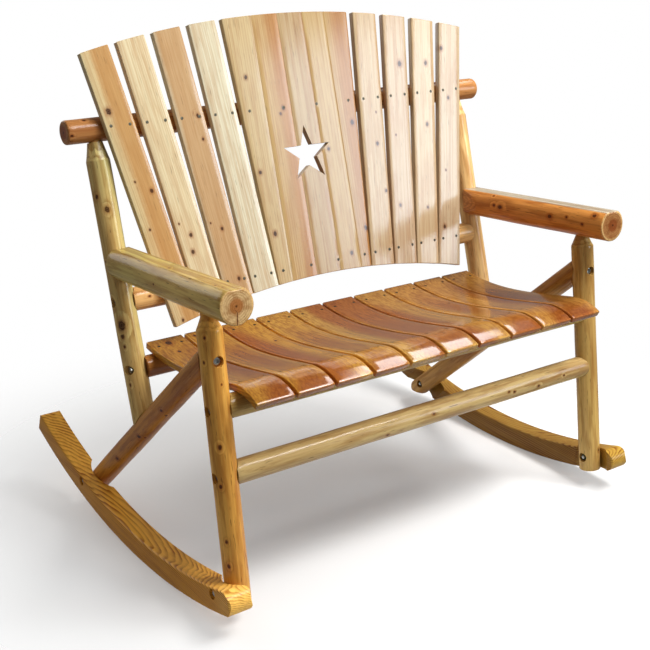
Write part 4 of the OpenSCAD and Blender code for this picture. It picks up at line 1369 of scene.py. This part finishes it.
class LOGCHAIR_OT_bolts(bpy.types.Operator):
    """Build the bolts, nuts and lag bolts that hold the logs and rockers together"""

    bl_idname = "log_chair.bolts"
    bl_label = "Bolts and nuts"

    def execute(self, context):
        d = layout()
        s = d.s
        c = paint()
        zinc = metal("zinc_plated_steel", c.zinc, 0.32, 0.6)
        dark = metal("blackened_steel_nut", c.nut, 0.5, 0.5)
        flip = Matrix.Scale(-1, 4, Vector((1, 0, 0)))

        def both(name, source, places, node_name, material):
            scattered(name, source, places + [flip @ p for p in places], node_name, material, d.rest)

        head_x, nut_x = d.rocker_out - HEAD_RECESS, d.post_x - s.post_r + NUT_RECESS
        grip = head_x - nut_x
        bolt = lathe([
            (0, -0.0005 - (grip + 0.009)), (0.0035, -(grip + 0.009)), (0.004, -(grip + 0.008)), (0.004, 0),
            (0.008, 0), (0.008, 0.0012), (0.0072, 0.0028), (0.005, 0.0043), (0.002, 0.005), (0, 0.005),
        ], 40)
        both("rocker_carriage_bolts", bolt, [along_x(head_x, y, z) for y, z in d.rocker_spots], "rocker_bolts", zinc)
        nut = hexagon(0.013, 0.0065, BOLT_BORE)
        both("rocker_hex_nuts", nut, [along_x(nut_x - 0.0065, y, z) for y, z in d.rocker_spots], "rocker_nuts", dark)
        place = along_y(d.post_x, -s.post_r + POST_RECESS, d.brace_z - 0.01, -1)
        both("brace_cap_bolts", cap_bolt(0.060), [place], "brace_bolts", zinc)
        lag = merged([
            hexagon(0.013, 0.005, 0),
            lathe([(0, -0.095), (0.003, -0.092), (0.004, -0.085), (0.004, 0.0002), (0, 0.0002)], 24),
        ])
        places = [along_x(x + s.post_r - POST_RECESS, y, z) for x, (y, z) in (
            (d.post_x, d.front_rail), (d.post_x, (0.0, d.stretcher_z)),
            (d.rear_x, d.rear_rail), (d.rear_x, (d.back_y, d.lower_rail_z)))]
        both("rail_lag_bolts", lag, places, "rail_bolts", zinc)
        place = d.back_frame @ along_y(d.arm_x, s.post_r - POST_RECESS, d.arm_bolt_v)
        both("arm_cap_bolts", cap_bolt(0.100), [place], "arm_bolts", zinc)
        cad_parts["foot_screws"].data.materials.clear()
        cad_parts["foot_screws"].data.materials.append(zinc)
        return {"FINISHED"}


class LOGCHAIR_OT_screws(bpy.types.Operator):
    """Build the countersunk screws of the back and the seat"""

    bl_idname = "log_chair.screws"
    bl_label = "Wood screws"

    def execute(self, context):
        d = layout()
        s = d.s
        dull = metal("dull_steel_wood_screw", paint().screw, 0.45, 0.45)
        reach = 0.0318
        profile = [(0, -reach), (0.0012, -reach + 0.004), (0.002, -reach + 0.008), (0.002, -0.0018), (0.0034, -0.0008),
                   (0.0034, -0.0006), (0.0032, -0.0005), (0.0021, -0.0005), (0.0019, -0.0013), (0, -0.0016)]
        screw = lathe(profile, 32, star=0.0021)
        for name, v in (("upper", d.upper_v), ("lower", d.lower_v)):
            xs = [q * d.slat_x(k, v) + e * SCREW_SHARE * s.slat_w for q in (-1, 1) for k in range(4) for e in (-1, 1)]
            xs += [q * f * d.panel_x(v) for q in (-1, 1) for f in PANEL_SHARES]
            places = [
                d.back_frame @ along_y(x, d.slat_back - s.back_t, v - s.slat_drop, -1) @ Matrix.Rotation(x * 37, 4, "Z")
                for x in xs
            ]
            scattered("back_%s_wood_screws" % name, screw, places, "back_screws_" + name, dull, d.rest)
        xs = [d.seat_x(i) + e * SCREW_SHARE * d.seat_w for i in range(10) for e in (-1, 1)]
        for name, y in (("front", d.front_bear), ("rear", d.rear_bear)):
            slope = Matrix.Rotation(d.seat_slope(y), 4, "X")
            places = [
                Matrix.Translation((x, y, d.seat_top(y))) @ slope @ Matrix.Rotation(x * 29, 4, "Z") for x in xs
            ]
            scattered("seat_%s_wood_screws" % name, screw, places, "seat_screws_" + name, dull, d.rest)
        return {"FINISHED"}


class LOGCHAIR_OT_stage(bpy.types.Operator):
    """Set up the pale floor, the soft lights and the camera"""

    bl_idname = "log_chair.stage"
    bl_label = "Stage"

    def execute(self, context):
        scene = context.scene
        spokes = [(math.cos(math.pi * j / 24), math.sin(math.pi * j / 24)) for j in range(48)]
        rings = [[Vector((r * x, r * y, 0)) for x, y in spokes] for r in (3.0, 8.0, 20.0, 60.0)]
        mesh = skin("floor", [[Vector((0, 0, 0))]] + rings)
        for face in mesh.polygons:
            if face.normal.z < 0:
                mesh.flip_normals()
                break
        floor = bpy.data.objects.new("studio_floor", mesh)
        context.collection.objects.link(floor)
        made = new_material("matt_painted_floor")
        tree = made.node_tree
        where = node(tree, "ShaderNodeTexCoord").outputs["Object"]
        # faint roller texture, 6 mm across
        cloud = node(tree, "ShaderNodeTexNoise", {"Vector": where, "Scale": 160.0, "Detail": 2.0}).outputs[0]
        lumps = node(tree, "ShaderNodeBump", {"Height": cloud, "Strength": 0.1, "Distance": 0.0005}).outputs[0]
        surface = node(tree, "ShaderNodeBsdfPrincipled", {
            "Base Color": (*linear(paint().floor), 1.0), "Roughness": 0.75, "Normal": lumps})
        # the painted floor ends softly and leaves the white room behind it
        out_r = node(tree, "ShaderNodeVectorMath", {0: where}, operation="LENGTH").outputs["Value"]
        fade = node(tree, "ShaderNodeMapRange", {"Value": out_r, "From Min": 0.15, "From Max": 1.35},
                    interpolation_type="SMOOTHSTEP").outputs[0]
        clear = node(tree, "ShaderNodeBsdfTransparent").outputs[0]
        surface = node(tree, "ShaderNodeMixShader", {0: fade, 1: surface.outputs[0], 2: clear})
        plug(tree, surface)
        mesh.materials.append(made)
        world = bpy.data.worlds.new("studio_white")
        world.use_nodes = True
        tree = world.node_tree
        tree.nodes.clear()
        # white behind the chair, and a dimmer room for the light that falls on it
        seen = node(tree, "ShaderNodeLightPath").outputs["Is Camera Ray"]
        level = node(tree, "ShaderNodeMapRange", {"Value": seen, "To Min": 0.2, "To Max": 1.0}).outputs[0]
        back = node(tree, "ShaderNodeBackground", {"Color": (1.0, 1.0, 1.0, 1.0), "Strength": level})
        plug(tree, back, "ShaderNodeOutputWorld")
        scene.world = world
        # name, place, point lit, size across and up, watts, colour
        lights = (
            ("overhead_softbox", (0.9, -1.7, 3.1), (0.0, 0.0, 0.5), (1.7, 1.2), 95, (1.0, 1.0, 1.0)),
            ("front_window", (3.0, -3.3, 1.75), (0.2, 0.0, 0.8), (1.4, 1.6), 72, (0.76, 0.89, 1.0)),
            ("side_strip", (1.7, -0.45, 2.9), (0.0, 0.0, 0.4), (3.0, 0.7), 60, (1.0, 1.0, 1.0)),
            ("back_panel", (-0.8, 3.2, 2.0), (0.0, 0.0, 0.6), (3.0, 1.5), 35, (1.0, 1.0, 1.0)),
        )
        for name, place, target, size, watts, tone in lights:
            lamp = bpy.data.lights.new(name, "AREA")
            lamp.shape = "RECTANGLE"
            lamp.size, lamp.size_y = size
            lamp.energy = watts
            lamp.color = tone
            obj = bpy.data.objects.new(name, lamp)
            context.collection.objects.link(obj)
            obj.location = place
            obj.rotation_euler = (Vector(target) - Vector(place)).to_track_quat("-Z", "Y").to_euler()
        lens = bpy.data.cameras.new("camera")
        lens.lens = 63.187
        lens.sensor_width = 36.0
        camera = bpy.data.objects.new("camera", lens)
        context.collection.objects.link(camera)
        camera.location = (-1.47346, -2.12059, 1.27162)
        camera.rotation_euler = [math.radians(v) for v in (71.4605, 0.857, -35.0881)]
        scene.camera = camera
        scene.view_settings.view_transform = "Standard"
        return {"FINISHED"}


class LOGCHAIR_PT_panel(bpy.types.Panel):
    """Buttons and sizes of the log rocking chair"""

    bl_idname = "LOGCHAIR_PT_panel"
    bl_label = "Log rocking chair"
    bl_space_type = "VIEW_3D"
    bl_region_type = "UI"
    bl_category = "Log chair"

    def draw(self, context):
        column = self.layout.column()
        for step in STEPS:
            column.operator(step.bl_idname)
        for group in (context.scene.log_chair_sizes, context.scene.log_chair_colours):
            for name in group.__annotations__:
                column.prop(group, name)


STEPS = (
    LOGCHAIR_OT_rockers,
    LOGCHAIR_OT_front_posts,
    LOGCHAIR_OT_rear_posts,
    LOGCHAIR_OT_braces,
    LOGCHAIR_OT_arms,
    LOGCHAIR_OT_rails,
    LOGCHAIR_OT_back_slats,
    LOGCHAIR_OT_star_panel,
    LOGCHAIR_OT_seat,
    LOGCHAIR_OT_bolts,
    LOGCHAIR_OT_screws,
    LOGCHAIR_OT_stage,
)
CLASSES = (LogChairSizes, LogChairColours) + STEPS + (LOGCHAIR_PT_panel,)


def register():
    for each in CLASSES:
        bpy.utils.register_class(each)
    bpy.types.Scene.log_chair_sizes = bpy.props.PointerProperty(type=LogChairSizes)
    bpy.types.Scene.log_chair_colours = bpy.props.PointerProperty(type=LogChairColours)


def unregister():
    del bpy.types.Scene.log_chair_colours
    del bpy.types.Scene.log_chair_sizes
    for each in reversed(CLASSES):
        bpy.utils.unregister_class(each)


def main():
    register()
    for step in STEPS:
        group, name = step.bl_idname.split(".")
        getattr(getattr(bpy.ops, group), name)()


if __name__ == "__main__":
    main()
